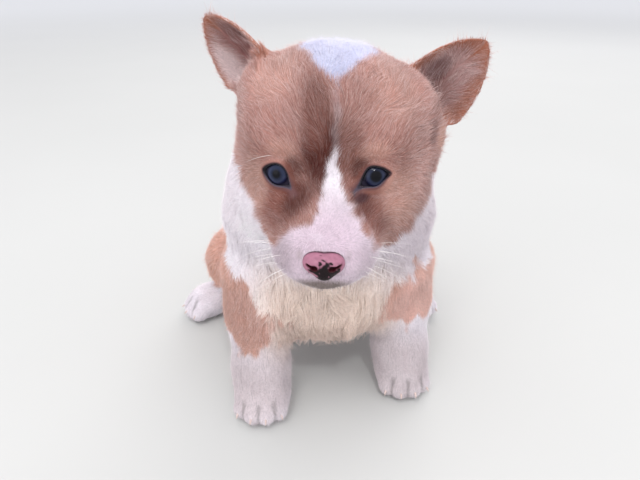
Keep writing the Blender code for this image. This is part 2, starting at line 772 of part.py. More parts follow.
# Pieces parted by an ellipsoid: its centre, radii and turns
ROUND_CUTS = {
    "foreleg_right": ((-0.0470, -0.1200, 0.0340), (0.0290, 0.0440, 0.0620), (14.0, 0.0, 0.0)),
    "foreleg_left": ((0.0525, -0.1080, 0.0340), (0.0300, 0.0440, 0.0620), (10.0, 0.0, 0.0)),
    "hindfoot_right": ((-0.0900, -0.0420, 0.0080), (0.0330, 0.0250, 0.0200), (0.0, 0.0, 24.0)),
    "hindfoot_left": ((0.0710, -0.0400, 0.0080), (0.0230, 0.0330, 0.0200), (0.0, 0.0, 18.0)),
    "hindleg_right": ((-0.0640, -0.0180, 0.0440), (0.0420, 0.0560, 0.0520), (0.0, 0.0, 0.0)),
    "hindleg_left": ((0.0620, -0.0180, 0.0440), (0.0420, 0.0560, 0.0520), (0.0, 0.0, 0.0)),
}
PARTING_ORDER = (
    "head", "tail", "forepaw_right", "forepaw_left", "foreleg_right", "foreleg_left",
    "hindfoot_right", "hindfoot_left", "hindleg_right", "hindleg_left", "neck_and_bib",
)


def largest_piece(obj):
    """Keeps only an object's largest closed surface."""
    bm = bmesh.new()
    bm.from_mesh(obj.data)
    bmesh.ops.remove_doubles(bm, verts=bm.verts, dist=1e-6)
    pinched = [edge for edge in bm.edges if len(edge.link_faces) > 2 and edge.calc_length() < SLIVER]
    bmesh.ops.collapse(bm, edges=pinched)
    sheets = {}
    for face in bm.faces:
        sheets.setdefault(frozenset(face.verts), []).append(face)
    flat = [face for pair in sheets.values() if len(pair) == 2 for face in pair]
    bmesh.ops.delete(bm, geom=flat, context="FACES")
    left, pieces = set(bm.faces), []
    while left:
        queue = [left.pop()]
        piece = list(queue)
        while queue:
            for edge in queue.pop().edges:
                for face in edge.link_faces:
                    if face in left:
                        left.discard(face)
                        queue.append(face)
                        piece.append(face)
        pieces.append(piece)
    pieces.sort(key=lambda faces: sum(face.calc_area() for face in faces), reverse=True)
    for piece in pieces[1:]:
        bmesh.ops.delete(bm, geom=piece, context="FACES")
    loose = [vert for vert in bm.verts if not vert.link_faces]
    bmesh.ops.delete(bm, geom=loose, context="VERTS")
    bm.to_mesh(obj.data)
    bm.free()
    return obj


def grow_locks(node, pieces):
    """Joins locks to the node that they grow from, in one union."""
    group = bpy.data.collections.new("locks")
    bpy.context.scene.collection.children.link(group)
    triangulated(node)
    for piece in pieces:
        bpy.context.scene.collection.objects.unlink(piece)
        group.objects.link(triangulated(piece))
    modifier = node.modifiers.new("Locks", "BOOLEAN")
    modifier.operation = "UNION"
    modifier.solver = "EXACT"
    modifier.operand_type = "COLLECTION"
    modifier.collection = group
    settle(node)
    for piece in pieces:
        bpy.data.objects.remove(piece)
    bpy.data.collections.remove(group)
    return largest_piece(node)


def part_off(body, name, keep, drop):
    """Takes the piece inside one cutter from the body, and what is inside a wider one off the body."""
    piece = copied(body, name)
    joined(piece, keep, "INTERSECT")
    joined(body, drop, "DIFFERENCE")
    return largest_piece(piece)


def box_pair(frame, low, high):
    """A box cutter and the same box wider by the gap."""
    wide_low = [value - GAP for value in low]
    wide_high = [value + GAP for value in high]
    return block("keep", frame, low, high), block("drop", frame, wide_low, wide_high)


def round_pair(centre, radii, turn):
    """An ellipsoid cutter and the same one wider by the gap."""
    pair = []
    for extra in (0.0, GAP):
        cutter = ball("cutter", (0.0, 0.0, 0.0), 1.0, ROUND_CUT_RINGS)
        spin = [Matrix.Rotation(math.radians(a), 4, axis) for a, axis in zip(turn, "XYZ")]
        size = Matrix.Diagonal([radius + extra for radius in radii] + [1.0])
        cutter.data.transform(Matrix.Translation(centre) @ spin[2] @ spin[1] @ spin[0] @ size)
        pair.append(cutter)
    return pair


def jaw_pair():
    """The cutters of the lower jaw: an ellipsoid below the line of the mouth, and one wider by the gap."""
    mouth = head_frame() @ Matrix.Translation(MOUTH_CORNER) @ Matrix.Rotation(MOUTH_SLOPE, 4, "X")
    pair = []
    for cutter, extra in zip(round_pair(JAW, JAW_RADII, (0.0, 0.0, 0.0)), (0.0, GAP)):
        cutter.data.transform(head_frame())
        pair.append(joined(cutter, block("above", mouth, (-0.1, -0.1, extra), (0.1, 0.1, 0.1)), "DIFFERENCE"))
    return pair


def finish(obj):
    """Gives an object its own material and smooth shading."""
    if obj.name == "nose":
        kind = "nose_leather"
    elif obj.name.startswith("eye_"):
        kind = "eye"
    elif "_claw_" in obj.name:
        kind = "claw"
    else:
        kind = "white_coat" if obj.name.startswith(WHITE_NODES) else "red_coat"
    colour, roughness = FINISHES[kind]
    material = bpy.data.materials.new(f"{obj.name}_{kind}")
    material.use_nodes = True
    shader = material.node_tree.nodes["Principled BSDF"]
    shader.inputs["Base Color"].default_value = (*colour, 1.0)
    shader.inputs["Roughness"].default_value = roughness
    shader.inputs["Metallic"].default_value = 0.0
    obj.data.materials.clear()
    obj.data.materials.append(material)
    obj.data.shade_smooth()
    obj.data.set_sharp_from_angle(angle=math.radians(40))


def main():
    for obj in list(bpy.data.objects):
        bpy.data.objects.remove(obj)
    low, high = (-0.125, -0.20, -0.012), (0.100, 0.085, 0.222)
    form = body_form()
    points, quads = skinned(form, low, high)
    body = thinned(mesh_object("torso", points, quads), BODY_TRIANGLES)
    joined(body, block("ground", Matrix(), (-0.3, -0.3, -0.1), (0.3, 0.3, 0.0)), "DIFFERENCE")

    for side in SIDES:
        joined(body, ear("leaf", **EARS[side]), "UNION")
    for side, sign in SIDES.items():
        centre = eye_frame(sign).translation
        joined(body, ball("lids", centre, EYE_RADIUS + LID_THICKNESS), "UNION")
    for side, sign in SIDES.items():
        centre = eye_frame(sign).translation
        joined(body, lid_opening(sign), "DIFFERENCE")
        joined(body, ball("socket", centre, EYE_RADIUS + GAP, EYE_RINGS), "DIFFERENCE")
        ball(f"eye_{side}", centre, EYE_RADIUS, EYE_RINGS)

    low = [value - 0.014 for value in NOSE]
    high = [value + 0.014 for value in NOSE]
    nose = mesh_object("nose", *skinned(nose_form(), low, high, NOSE_CELL))
    thinned(nose, NOSE_TRIANGLES)
    nose.data.transform(head_frame())
    joined(body, grown(copied(nose, "nose_seat"), GAP), "DIFFERENCE")

    for side in SIDES:
        claws(body, f"forepaw_{side}", FORELEGS[side]["paw"], FORELEGS[side]["toe_turn"])
        claws(body, f"hindfoot_{side}", HINDLEGS[side]["foot"], HINDLEGS[side]["toe_turn"])

    triangulated(body)
    for side in SIDES:
        frame = ear_frame(**EARS[side])
        part_off(body, f"ear_{side}", *box_pair(frame, *EAR_CUTTER))
    part_off(body, "lower_jaw", *jaw_pair())
    for name in PARTING_ORDER:
        if name in ROUND_CUTS:
            pair = round_pair(*ROUND_CUTS[name])
        else:
            point, way, across, along, depth = PLANE_CUTS[name]
            facing = (0.0, 1.0, 0.0) if abs(way[1]) < 0.8 else (0.0, 0.0, 1.0)
            frame = frame_along(point, way, facing)
            pair = box_pair(frame, (-across, -along, 0.0), (across, along, depth))
        part_off(body, name, *pair)
    largest_piece(body)

    draw = np.random.default_rng(7)
    grow_locks(bpy.data.objects["neck_and_bib"], bib_locks(form, draw))
    grow_locks(bpy.data.objects["head"], cheek_locks(form, draw))
    grow_locks(bpy.data.objects["tail"], tail_locks(form, draw))
    puppy = bpy.data.objects.new("puppy", None)
    bpy.context.scene.collection.objects.link(puppy)
    for obj in [found for found in bpy.data.objects if found.type == "MESH"]:
        finish(obj)
        obj.parent = puppy


main()
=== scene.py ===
"""A corgi puppy that sits and looks up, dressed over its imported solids.

One skin stands for all the flesh: it is the puppy's form, less the depth of its coat. Tufts of hair
grow from it, each a thin closed sliver that follows the lie of the coat. Eyes, nose leather, claws
and whiskers are pieces of their own. Metres, +Z up; the puppy looks along -Y, its own left is +X.
"""

from __future__ import annotations

import logging
import math
from collections.abc import Callable, Sequence
from dataclasses import dataclass, field
from enum import Enum

import bpy
import numpy as np
from mathutils import Matrix, Vector

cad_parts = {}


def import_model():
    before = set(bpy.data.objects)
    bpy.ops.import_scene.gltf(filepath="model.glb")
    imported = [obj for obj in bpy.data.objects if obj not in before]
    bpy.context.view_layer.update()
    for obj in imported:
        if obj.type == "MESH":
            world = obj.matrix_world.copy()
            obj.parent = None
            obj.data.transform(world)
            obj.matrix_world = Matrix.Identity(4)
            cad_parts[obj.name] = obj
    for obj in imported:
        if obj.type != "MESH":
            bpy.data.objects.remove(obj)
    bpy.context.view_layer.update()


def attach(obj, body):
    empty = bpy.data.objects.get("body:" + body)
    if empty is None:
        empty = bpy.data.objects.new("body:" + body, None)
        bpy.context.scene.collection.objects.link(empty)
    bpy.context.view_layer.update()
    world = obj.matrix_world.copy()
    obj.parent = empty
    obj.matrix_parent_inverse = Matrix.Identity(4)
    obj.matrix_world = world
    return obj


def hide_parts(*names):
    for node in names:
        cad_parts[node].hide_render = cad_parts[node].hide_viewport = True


LOG = logging.getLogger("puppy")
BODY = "root"
BAKE_MAP = "OFBake"
HAIR_COLOUR = "Hair"
PLACE = "Place"

Array = np.ndarray
Form = Callable[[Array], Array]
Pair = tuple[float, float]
Triple = tuple[float, float, float]


class Side(Enum):
    """The puppy's own right and left, by the sign of X."""

    RIGHT = -1
    LEFT = 1

    @property
    def word(self) -> str:
        """The side's name as the frame's nodes spell it."""
        return self.name.lower()


def paint(red: float, green: float, blue: float) -> Array:
    """A colour as light, from red, green and blue as a screen shows them, 0 to 255."""
    shown = np.array((red, green, blue)) / 255.0
    return np.where(shown < 0.04045, shown / 12.92, ((shown + 0.055) / 1.055) ** 2.4)


class Shade(Enum):
    """The colours of coat, lids, nose and whiskers, as a screen shows them; some are painted shades, and one is
    a painted highlight.
    """

    RED = (180, 129, 118)
    RED_DARK = (88, 36, 26)
    RED_DEEP = (138, 84, 72)
    PLUM = (70, 38, 46)
    TAN = (212, 166, 150)
    SADDLE = (222, 172, 154)
    ORANGE = (206, 146, 116)
    SHOULDER_PALE = (240, 200, 190)
    SHOULDER_DULL = (192, 150, 138)
    MUZZLE_GREY = (196, 180, 190)
    WHITE = (248, 242, 249)
    CROWN_WHITE = (206, 210, 236)
    CREAM = (250, 230, 216)
    CREAM_LOW = (206, 183, 169)
    LEG_WHITE = (217, 206, 209)
    MUZZLE_PINK = (228, 206, 221)
    CHIN_GREY = (138, 124, 120)
    EAR_RIM = (184, 118, 94)
    EAR_INSIDE = (200, 158, 154)
    EAR_HOLLOW = (124, 80, 82)
    EAR_CREASE = (92, 52, 56)
    EAR_FRONT = (154, 96, 92)
    EAR_PALE = (236, 216, 216)
    EAR_DULL = (172, 126, 120)
    LID_DARK = (26, 20, 28)
    LID_WET = (100, 92, 108)
    LID_BARE = (112, 76, 76)
    PALE_TIP = (244, 224, 222)
    NOSE_PINK = (166, 112, 132)
    NOSE_PATCH = (22, 10, 14)
    NOSE_EDGE = (74, 44, 56)
    NOSTRIL = (56, 12, 22)
    WHISKER = (246, 240, 238)

    @property
    def light(self) -> Array:
        """The colour as light."""
        return paint(*self.value)


def towards(colours: Array, shade: Array, share: Array) -> Array:
    """Colours moved towards a shade, by a share for each point."""
    return colours + (shade - colours) * share[:, None]


def norms(vectors: Array) -> Array:
    """The length of each vector."""
    return np.linalg.norm(vectors, axis=1)


def unit(vectors: Array) -> Array:
    """Vectors scaled to a length of one."""
    return vectors / np.maximum(np.linalg.norm(vectors, axis=-1, keepdims=True), 1e-9)


def soft_step(values: Array) -> Array:
    """0 below 0 and 1 above 1, with a smooth rise between."""
    held = np.clip(values, 0.0, 1.0)
    return held * held * (3.0 - 2.0 * held)


def read_off(values: Array, table: Sequence[Sequence[float]], column: int = 1) -> Array:
    """What a column of a table says at values of its first column, evenly between the rows."""
    rows = np.array(table)
    return np.interp(values, rows[:, 0], rows[:, column])


def turns(count: int) -> Array:
    """Angles evenly round a circle."""
    return np.linspace(0.0, 2.0 * math.pi, count, endpoint=False)


def wall(levels: int, sides: int) -> Array:
    """The quads between rings of points that lie one above the other.

    Args:
        levels: How many rings there are.
        sides: How many points each has.

    Returns:
        Four point numbers for each quad.
    """
    here = np.arange(sides)
    ahead = (here + 1) % sides
    ring = np.stack([here, ahead, ahead + sides, here + sides], axis=1)
    return np.concatenate([ring + level * sides for level in range(levels - 1)])


def turning(degrees: Triple) -> Array:
    """The matrix that turns about X, then Y, then Z."""
    spin = [Matrix.Rotation(math.radians(angle), 3, axis) for angle, axis in zip(degrees, "XYZ")]
    return np.array(spin[2] @ spin[1] @ spin[0])


def frame_along(point: Sequence[float], axis: Sequence[float], facing: Sequence[float]) -> Matrix:
    """A frame whose Z runs along an axis and whose Y leans to a facing direction.

    Args:
        point: The frame's place.
        axis: Where its Z points.
        facing: Roughly where its Y points.

    Returns:
        The frame as a matrix.
    """
    up = Vector(axis).normalized()
    front = (Vector(facing) - up * Vector(facing).dot(up)).normalized()
    turn = Matrix((front.cross(up), front, up)).transposed().to_4x4()
    return Matrix.Translation(point) @ turn


def ellipsoid(centre: Sequence[float], radii: Triple, turn: Triple = (0.0, 0.0, 0.0)) -> Form:
    """A form: how far points lie outside an ellipsoid, negative inside.

    Args:
        centre: Its middle.
        radii: Its half sizes along its own axes.
        turn: Degrees about X, Y and Z.

    Returns:
        The form.
    """
    frame = turning(turn)
    middle, half = np.array(centre, float), np.array(radii, float)

    def distance(points: Array) -> Array:
        """How far outside points are."""
        local = (points - middle) @ frame
        once = np.sqrt(((local / half) ** 2).sum(axis=1))
        twice = np.sqrt(((local / half**2) ** 2).sum(axis=1))
        return once * (once - 1.0) / np.maximum(twice, 1e-9)

    return distance


def limb(start: Sequence[float], end: Sequence[float], start_radius: float, end_radius: float) -> Form:
    """A form: a round limb that tapers from one ball to another."""
    first, run = np.array(start, float), np.array(end, float) - np.array(start, float)

    def distance(points: Array) -> Array:
        """How far outside points are."""
        along = np.clip((points - first) @ run / (run @ run), 0.0, 1.0)
        radius = start_radius + (end_radius - start_radius) * along
        return norms(points - first - along[:, None] * run) - radius

    return distance


def blended(forms: Sequence[Form], softness: float) -> Form:
    """A form: the union of forms, with the corners between them filled over about softness."""

    def distance(points: Array) -> Array:
        """How far outside points are."""
        total = forms[0](points)
        for form in forms[1:]:
            other = form(points)
            near = np.maximum(softness - np.abs(total - other), 0.0) / softness
            total = np.minimum(total, other) - near * near * softness / 4.0
        return total

    return distance


def hollowed(form: Form, hollow: Form, softness: float) -> Form:
    """A form: the first with the second scooped out, its edge rounded over about softness."""

    def distance(points: Array) -> Array:
        """How far outside points are."""
        solid, void = form(points), -hollow(points)
        near = np.maximum(softness - np.abs(solid - void), 0.0) / softness
        return np.maximum(solid, void) + near * near * softness / 4.0

    return distance


def placed(form: Form, frame: Matrix) -> Form:
    """A form moved from its own frame into the world."""
    turn, move = np.array(frame.to_3x3()), np.array(frame.translation)
    return lambda points: form((points - move) @ turn)


def into(frame: Matrix, points: Array) -> Array:
    """World points in a frame's own coordinates."""
    return (points - np.array(frame.translation)) @ np.array(frame.to_3x3())


def out_of(frame: Matrix, points: Array) -> Array:
    """A frame's own points in the world."""
    return points @ np.array(frame.to_3x3()).T + np.array(frame.translation)


def zone_share(points: Array, centre: Sequence[float], radii: Sequence[float]) -> Array:
    """How far points lie in a soft zone: 1 at its middle, falling to 0 at its edge."""
    far = norms((points - np.array(centre)) / np.array(radii))
    return soft_step(1.6 - 1.6 * far)


class Ripple:
    """A smooth random change over space, about -1 to 1: a sum of waves."""

    def __init__(self, draw: np.random.Generator, size: float, count: int = 10) -> None:
        """Draws the waves.

        Args:
            draw: Where the random numbers come from.
            size: The usual length of a wave, in metres.
            count: How many waves.
        """
        self.ways = unit(draw.normal(size=(count, 3))) * 2.0 * math.pi / size
        self.ways *= draw.uniform(0.6, 1.6, (count, 1))
        self.phases = draw.uniform(0.0, 2.0 * math.pi, count)
        self.scale = 1.5 / math.sqrt(count)

    def __call__(self, points: Array) -> Array:
        """The change at points."""
        return np.sin(points @ self.ways.T + self.phases).sum(axis=1) * self.scale


@dataclass(frozen=True)
class Surface:
    """A closed surface in quads, with the outward normal at each point."""

    points: Array
    quads: Array
    normals: Array


@dataclass(frozen=True)
class Sampler:
    """Skins a form: one point in each grid cell that its surface crosses."""

    cell: float
    block: int = 4
    caution: float = 1.8

    def depths(self, form: Form, low: Array, shape: tuple[int, int, int]) -> Array:
        """Samples a form on a grid, closely only near its surface.

        Args:
            form: The form.
            low: The grid's lowest corner.
            shape: How many blocks of cells it has each way.

        Returns:
            The form's value at each grid point.
        """
        span = self.block * self.cell
        rough = np.argwhere(np.ones(shape))
        coarse = np.concatenate([
            form(chunk) for chunk in np.array_split(low + (rough + 0.5) * span - self.cell / 2.0, 40)
        ])
        values = coarse.reshape(shape)
        for axis in range(3):
            values = np.repeat(values, self.block, axis=axis)
        near = rough[np.abs(coarse) < span * 0.87 * self.caution]
        offsets = np.argwhere(np.ones((self.block,) * 3))
        index = (near[:, None, :] * self.block + offsets[None]).reshape(-1, 3)
        pieces = max(1, len(index) // 100000)
        fine = np.concatenate([form(low + chunk * self.cell) for chunk in np.array_split(index, pieces)])
        values[tuple(index.T)] = fine
        return values

    def skin(self, form: Form, low: Sequence[float], high: Sequence[float]) -> Surface:
        """The surface of a form inside a box.

        Args:
            form: The form.
            low: The box's lowest corner.
            high: The box's highest corner.

        Returns:
            Its surface.
        """
        start = np.array(low, float)
        span = self.block * self.cell
        shape = tuple(int(math.ceil((b - a) / span)) for a, b in zip(low, high))
        depth = self.depths(form, start, shape)
        inside = depth < 0.0
        cells = tuple(n - 1 for n in depth.shape)

        def corner(values: Array, at: Sequence[int]) -> Array:
            """The grid's values at one corner of every cell."""
            return values[tuple(slice(o, o + n) for o, n in zip(at, cells))]

        corners = [(i, j, k) for i in (0, 1) for j in (0, 1) for k in (0, 1)]
        number_inside = sum(corner(inside, at).astype(np.int8) for at in corners)
        crossed = (number_inside > 0) & (number_inside < len(corners))
        index = np.full(cells, -1)
        index[crossed] = np.arange(crossed.sum())
        total, number = np.zeros((crossed.sum(), 3)), np.zeros(crossed.sum())
        for at in corners:
            for axis in range(3):
                if at[axis]:
                    continue
                end = tuple(o + (n == axis) for n, o in enumerate(at))
                first, second = corner(depth, at)[crossed], corner(depth, end)[crossed]
                cuts = (first < 0.0) != (second < 0.0)
                share = np.where(cuts, first / np.where(cuts, first - second, 1.0), 0.0)
                place = np.tile(np.array(at, float), (len(share), 1))
                place[:, axis] += share
                total += place * cuts[:, None]
                number += cuts
        points = (np.argwhere(crossed) + total / number[:, None]) * self.cell + start
        return self.settled(form, points, self.quads(inside, index))

    def quads(self, inside: Array, index: Array) -> Array:
        """The quads between crossed cells, wound so that they face out.

        Args:
            inside: Which grid points are inside.
            index: The number of the point in each crossed cell.

        Returns:
            Four point numbers for each quad.
        """
        found_quads = []
        for axis in range(3):
            one, two = (axis + 1) % 3, (axis + 2) % 3
            inner = [slice(1, -1)] * 3
            inner[axis] = slice(0, -1)
            ahead = list(inner)
            ahead[axis] = slice(1, None)
            here, there = inside[tuple(inner)], inside[tuple(ahead)]
            for found, order in ((here & ~there, 1), (there & ~here, -1)):
                base = np.argwhere(found) + [0 if n == axis else 1 for n in range(3)]
                ring = []
                for a, b in ((1, 1), (0, 1), (0, 0), (1, 0))[::order]:
                    at = base.copy()
                    at[:, one] -= a
                    at[:, two] -= b
                    ring.append(index[at[:, 0], at[:, 1], at[:, 2]])
                found_quads.append(np.stack(ring, axis=1))
        return np.concatenate(found_quads)

    def settled(self, form: Form, points: Array, quads: Array) -> Surface:
        """Moves points onto the form's true surface and finds their normals."""
        rise = gradient(form, points, self.cell * 0.1)
        size = np.maximum((rise * rise).sum(axis=1), 0.25)
        for _ in range(2):
            move = np.clip(form(points), -self.cell / 2.0, self.cell / 2.0) / size
            points = points - rise * move[:, None]
        return Surface(points, quads, unit(rise))


def gradient(form: Form, points: Array, step: float) -> Array:
    """How a form rises along X, Y and Z at points."""
    ways = np.eye(3) * step
    return np.stack([form(points + way) - form(points - way) for way in ways], axis=1) / (2.0 * step)


def kept(surface: Surface, keep: Array) -> Surface:
    """The part of a surface whose quads have all their points kept.

    Args:
        surface: The surface.
        keep: Which points stay.

    Returns:
        What is left, renumbered.
    """
    quads = surface.quads[keep[surface.quads].all(axis=1)]
    used = np.unique(quads)
    number = np.zeros(len(surface.points), int)
    number[used] = np.arange(len(used))
    return Surface(surface.points[used], number[quads], surface.normals[used])


def together(surfaces: Sequence[Surface]) -> Surface:
    """Several surfaces as one."""
    starts = np.cumsum([0] + [len(surface.points) for surface in surfaces[:-1]])
    return Surface(
        np.concatenate([surface.points for surface in surfaces]),
        np.concatenate([surface.quads + start for surface, start in zip(surfaces, starts)]),
        np.concatenate([surface.normals for surface in surfaces]),
    )


def piece(name: str, points: Array, faces: Sequence[Array]) -> bpy.types.Object:
    """A smooth mesh object.

    Args:
        name: Its name.
        points: Its points, in the world.
        faces: Arrays of faces, each with one number of corners.

    Returns:
        The object, linked to the scene.
    """
    mesh = bpy.data.meshes.new(name)
    corners = np.concatenate([group.ravel() for group in faces])
    sizes = np.concatenate([np.full(len(group), group.shape[1]) for group in faces])
    mesh.vertices.add(len(points))
    mesh.vertices.foreach_set("co", points.astype(np.float32).ravel())
    mesh.loops.add(len(corners))
    mesh.loops.foreach_set("vertex_index", corners.astype(np.int32))
    mesh.polygons.add(len(sizes))
    mesh.polygons.foreach_set("loop_start", (np.cumsum(sizes) - sizes).astype(np.int32))
    mesh.polygons.foreach_set("use_smooth", np.ones(len(sizes), bool))
    mesh.update(calc_edges=True)
    mesh.validate()
    obj = bpy.data.objects.new(name, mesh)
    bpy.context.scene.collection.objects.link(obj)
    return obj


def colour_points(obj: bpy.types.Object, colours: Array) -> None:
    """Stores a hair colour at each point of a piece."""
    shades = np.concatenate([colours, np.ones((len(colours), 1))], axis=1)
    layer = obj.data.color_attributes.new(HAIR_COLOUR, "FLOAT_COLOR", "POINT")
    layer.data.foreach_set("color", shades.astype(np.float32).ravel())


def mark_places(obj: bpy.types.Object, places: Array) -> None:
    """Stores where each point lies in its piece's own frame."""
    layer = obj.data.attributes.new(PLACE, "FLOAT_VECTOR", "POINT")
    layer.data.foreach_set("vector", places.astype(np.float32).ravel())


def triangle_count(obj: bpy.types.Object) -> int:
    """How many triangles a mesh has."""
    mesh = obj.data
    return len(mesh.loops) - 2 * len(mesh.polygons)


# Shader maths


class Wire:
    """A shader socket that can be added, multiplied and compared like a number."""

    def __init__(self, finish: "Finish", socket: bpy.types.NodeSocket) -> None:
        """Holds a socket of a finish."""
        self.finish = finish
        self.socket = socket

    def math(self, operation: str, first: "Wire | float", second: "Wire | float") -> "Wire":
        """A Math node on two values."""
        return self.finish.add("ShaderNodeMath", {"operation": operation}, {0: first, 1: second})

    def __add__(self, other: "Wire | float") -> "Wire":
        """The sum."""
        return self.math("ADD", self, other)

    def __radd__(self, other: float) -> "Wire":
        """The sum, number first."""
        return self.math("ADD", other, self)

    def __sub__(self, other: "Wire | float") -> "Wire":
        """The difference."""
        return self.math("SUBTRACT", self, other)

    def __rsub__(self, other: float) -> "Wire":
        """The difference, number first."""
        return self.math("SUBTRACT", other, self)

    def __mul__(self, other: "Wire | float") -> "Wire":
        """The product."""
        return self.math("MULTIPLY", self, other)

    def __rmul__(self, other: float) -> "Wire":
        """The product, number first."""
        return self.math("MULTIPLY", other, self)


class Finish:
    """A material whose nodes are added one by one to a Principled shader."""

    def __init__(self, name: str, roughness: float, **fixed: float) -> None:
        """Starts a material.

        Args:
            name: Its name.
            roughness: Its roughness where nothing changes it.
            fixed: Other sockets of the shader that stay the same all over, with _ for a space.
        """
        self.material = bpy.data.materials.new(name)
        self.material.use_nodes = True
        self.tree = self.material.node_tree
        self.shader = self.tree.nodes["Principled BSDF"]
        self.shader.inputs["Roughness"].default_value = roughness
        for socket, value in fixed.items():
            self.shader.inputs[socket.replace("_", " ")].default_value = value

    def add(
        self, kind: str, settings: dict[str, object], values: dict[str | int, object], out: str | int = 0
    ) -> Wire:
        """Adds a node.

        Args:
            kind: The node's type.
            settings: Its settings, with a ramp's stops as pairs of place and colour.
            values: What its input sockets hold or are linked to.
            out: Which output is wanted.

        Returns:
            The output.
        """
        node = self.tree.nodes.new(kind)
        for name, value in settings.items():
            if name == "stops":
                self.set_stops(node.color_ramp, value)
            else:
                setattr(node, name, value)
        for name, value in values.items():
            self.feed(node.inputs[name], value)
        return Wire(self, node.outputs[out])

    @staticmethod
    def set_stops(ramp: bpy.types.ColorRamp, stops: Sequence[tuple[float, Sequence[float]]]) -> None:
        """Gives a ramp its stops."""
        while len(ramp.elements) < len(stops):
            ramp.elements.new(1.0)
        for element, (place, colour) in zip(ramp.elements, stops):
            element.position = place
            element.color = (*colour, 1.0)

    def feed(self, socket: bpy.types.NodeSocket, value: object) -> None:
        """Links a socket to a wire, or sets what it holds."""
        if isinstance(value, Wire):
            self.tree.links.new(value.socket, socket)
        elif isinstance(value, np.ndarray) and len(value) == 3 and socket.type == "RGBA":
            socket.default_value = (*value, 1.0)
        else:
            socket.default_value = value

    def mix(self, share: Wire | float, first: object, second: object, blend: str = "MIX") -> Wire:
        """Two colours mixed, with a share of the second."""
        settings = {"data_type": "RGBA", "blend_type": blend}
        return self.add("ShaderNodeMix", settings, {0: share, 6: first, 7: second}, 2)

    def stored(self, name: str, out: str) -> Wire:
        """What a mesh stores at its points."""
        return self.add("ShaderNodeAttribute", {"attribute_name": name}, {}, out)

    def noise(self, scale: float, detail: float, place: Wire | None = None) -> Wire:
        """Cloudy noise, 0 to 1, with so many clouds to a metre, read at a place or the piece's own."""
        where = place or self.add("ShaderNodeTexCoord", {}, {}, "Object")
        return self.add("ShaderNodeTexNoise", {}, {"Vector": where, "Scale": scale, "Detail": detail})

    def ramp(self, value: Wire, *stops: tuple[float, Sequence[float]]) -> Wire:
        """A colour that changes with a value."""
        return self.add("ShaderNodeValToRGB", {"stops": stops}, {"Fac": value})

    def step(self, value: Wire, low: float, high: float) -> Wire:
        """0 below one value and 1 above another, with a smooth rise between."""
        settings = {"interpolation_type": "SMOOTHSTEP"}
        return self.add("ShaderNodeMapRange", settings, {"Value": value, "From Min": low, "From Max": high})

    def colour(self, value: object) -> None:
        """Sets the base colour."""
        self.feed(self.shader.inputs["Base Color"], value)

    def dimmed(self, share: Wire) -> None:
        """Sets the base colour to the stored one, darker where the share is low."""
        shade = self.add("ShaderNodeCombineColor", {}, {"Red": share, "Green": share, "Blue": share})
        self.colour(self.mix(1.0, self.stored(HAIR_COLOUR, "Color"), shade, "MULTIPLY"))

    def rough(self, value: Wire) -> None:
        """Links the roughness."""
        self.feed(self.shader.inputs["Roughness"], value)

    def bump(self, height: Wire, distance: float, strength: float = 1.0) -> None:
        """Raises the surface by a height."""
        values = {"Height": height, "Distance": distance, "Strength": strength}
        self.feed(self.shader.inputs["Normal"], self.add("ShaderNodeBump", {}, values))

    def put_on(self, obj: bpy.types.Object) -> None:
        """Makes this the piece's only material."""
        obj.data.materials.clear()
        obj.data.materials.append(self.material)


@dataclass(frozen=True)
class HairFinish:
    """Soft fur: its colour is stored at its points, and changes a little from hair to hair."""

    name: str
    roughness: float = 0.62
    sheen: float = 0.12
    grain: float = 900.0
    change: float = 0.16

    def made(self) -> Finish:
        """Builds the material."""
        finish = Finish(self.name, self.roughness, Sheen_Weight=self.sheen, Specular_IOR_Level=0.25)
        speckle = finish.noise(self.grain, 2.0)
        finish.dimmed(1.0 - self.change * finish.step(speckle, 0.35, 0.75))
        return finish


@dataclass(frozen=True)
class SkinFinish:
    """Skin and close underfur: the stored colour, with a fine nap."""

    name: str
    roughness: float = 0.72
    nap: float = 1400.0
    lift: float = 0.0005

    def made(self) -> Finish:
        """Builds the material."""
        finish = Finish(self.name, self.roughness, Sheen_Weight=0.1, Specular_IOR_Level=0.2)
        fine = finish.noise(self.nap, 3.0)
        broad = finish.noise(self.nap / 6.0, 2.0)
        finish.dimmed(1.0 - 0.22 * fine - 0.08 * broad)
        finish.bump(fine, self.lift)
        return finish


# The puppy's form


@dataclass
class HeadPlace:
    """Where the head is: its own -Y is the muzzle and its +Z the crown."""

    skull: Triple = (0.002, -0.108, 0.165)
    turn: float = -3.0
    lean: float = 1.2
    frame: Matrix = field(init=False)

    def __post_init__(self) -> None:
        """Works out the head's frame."""
        turn = Matrix.Rotation(math.radians(self.turn), 4, "Z")
        lean = Matrix.Rotation(math.radians(self.lean), 4, "Y")
        self.frame = Matrix.Translation(self.skull) @ lean @ turn


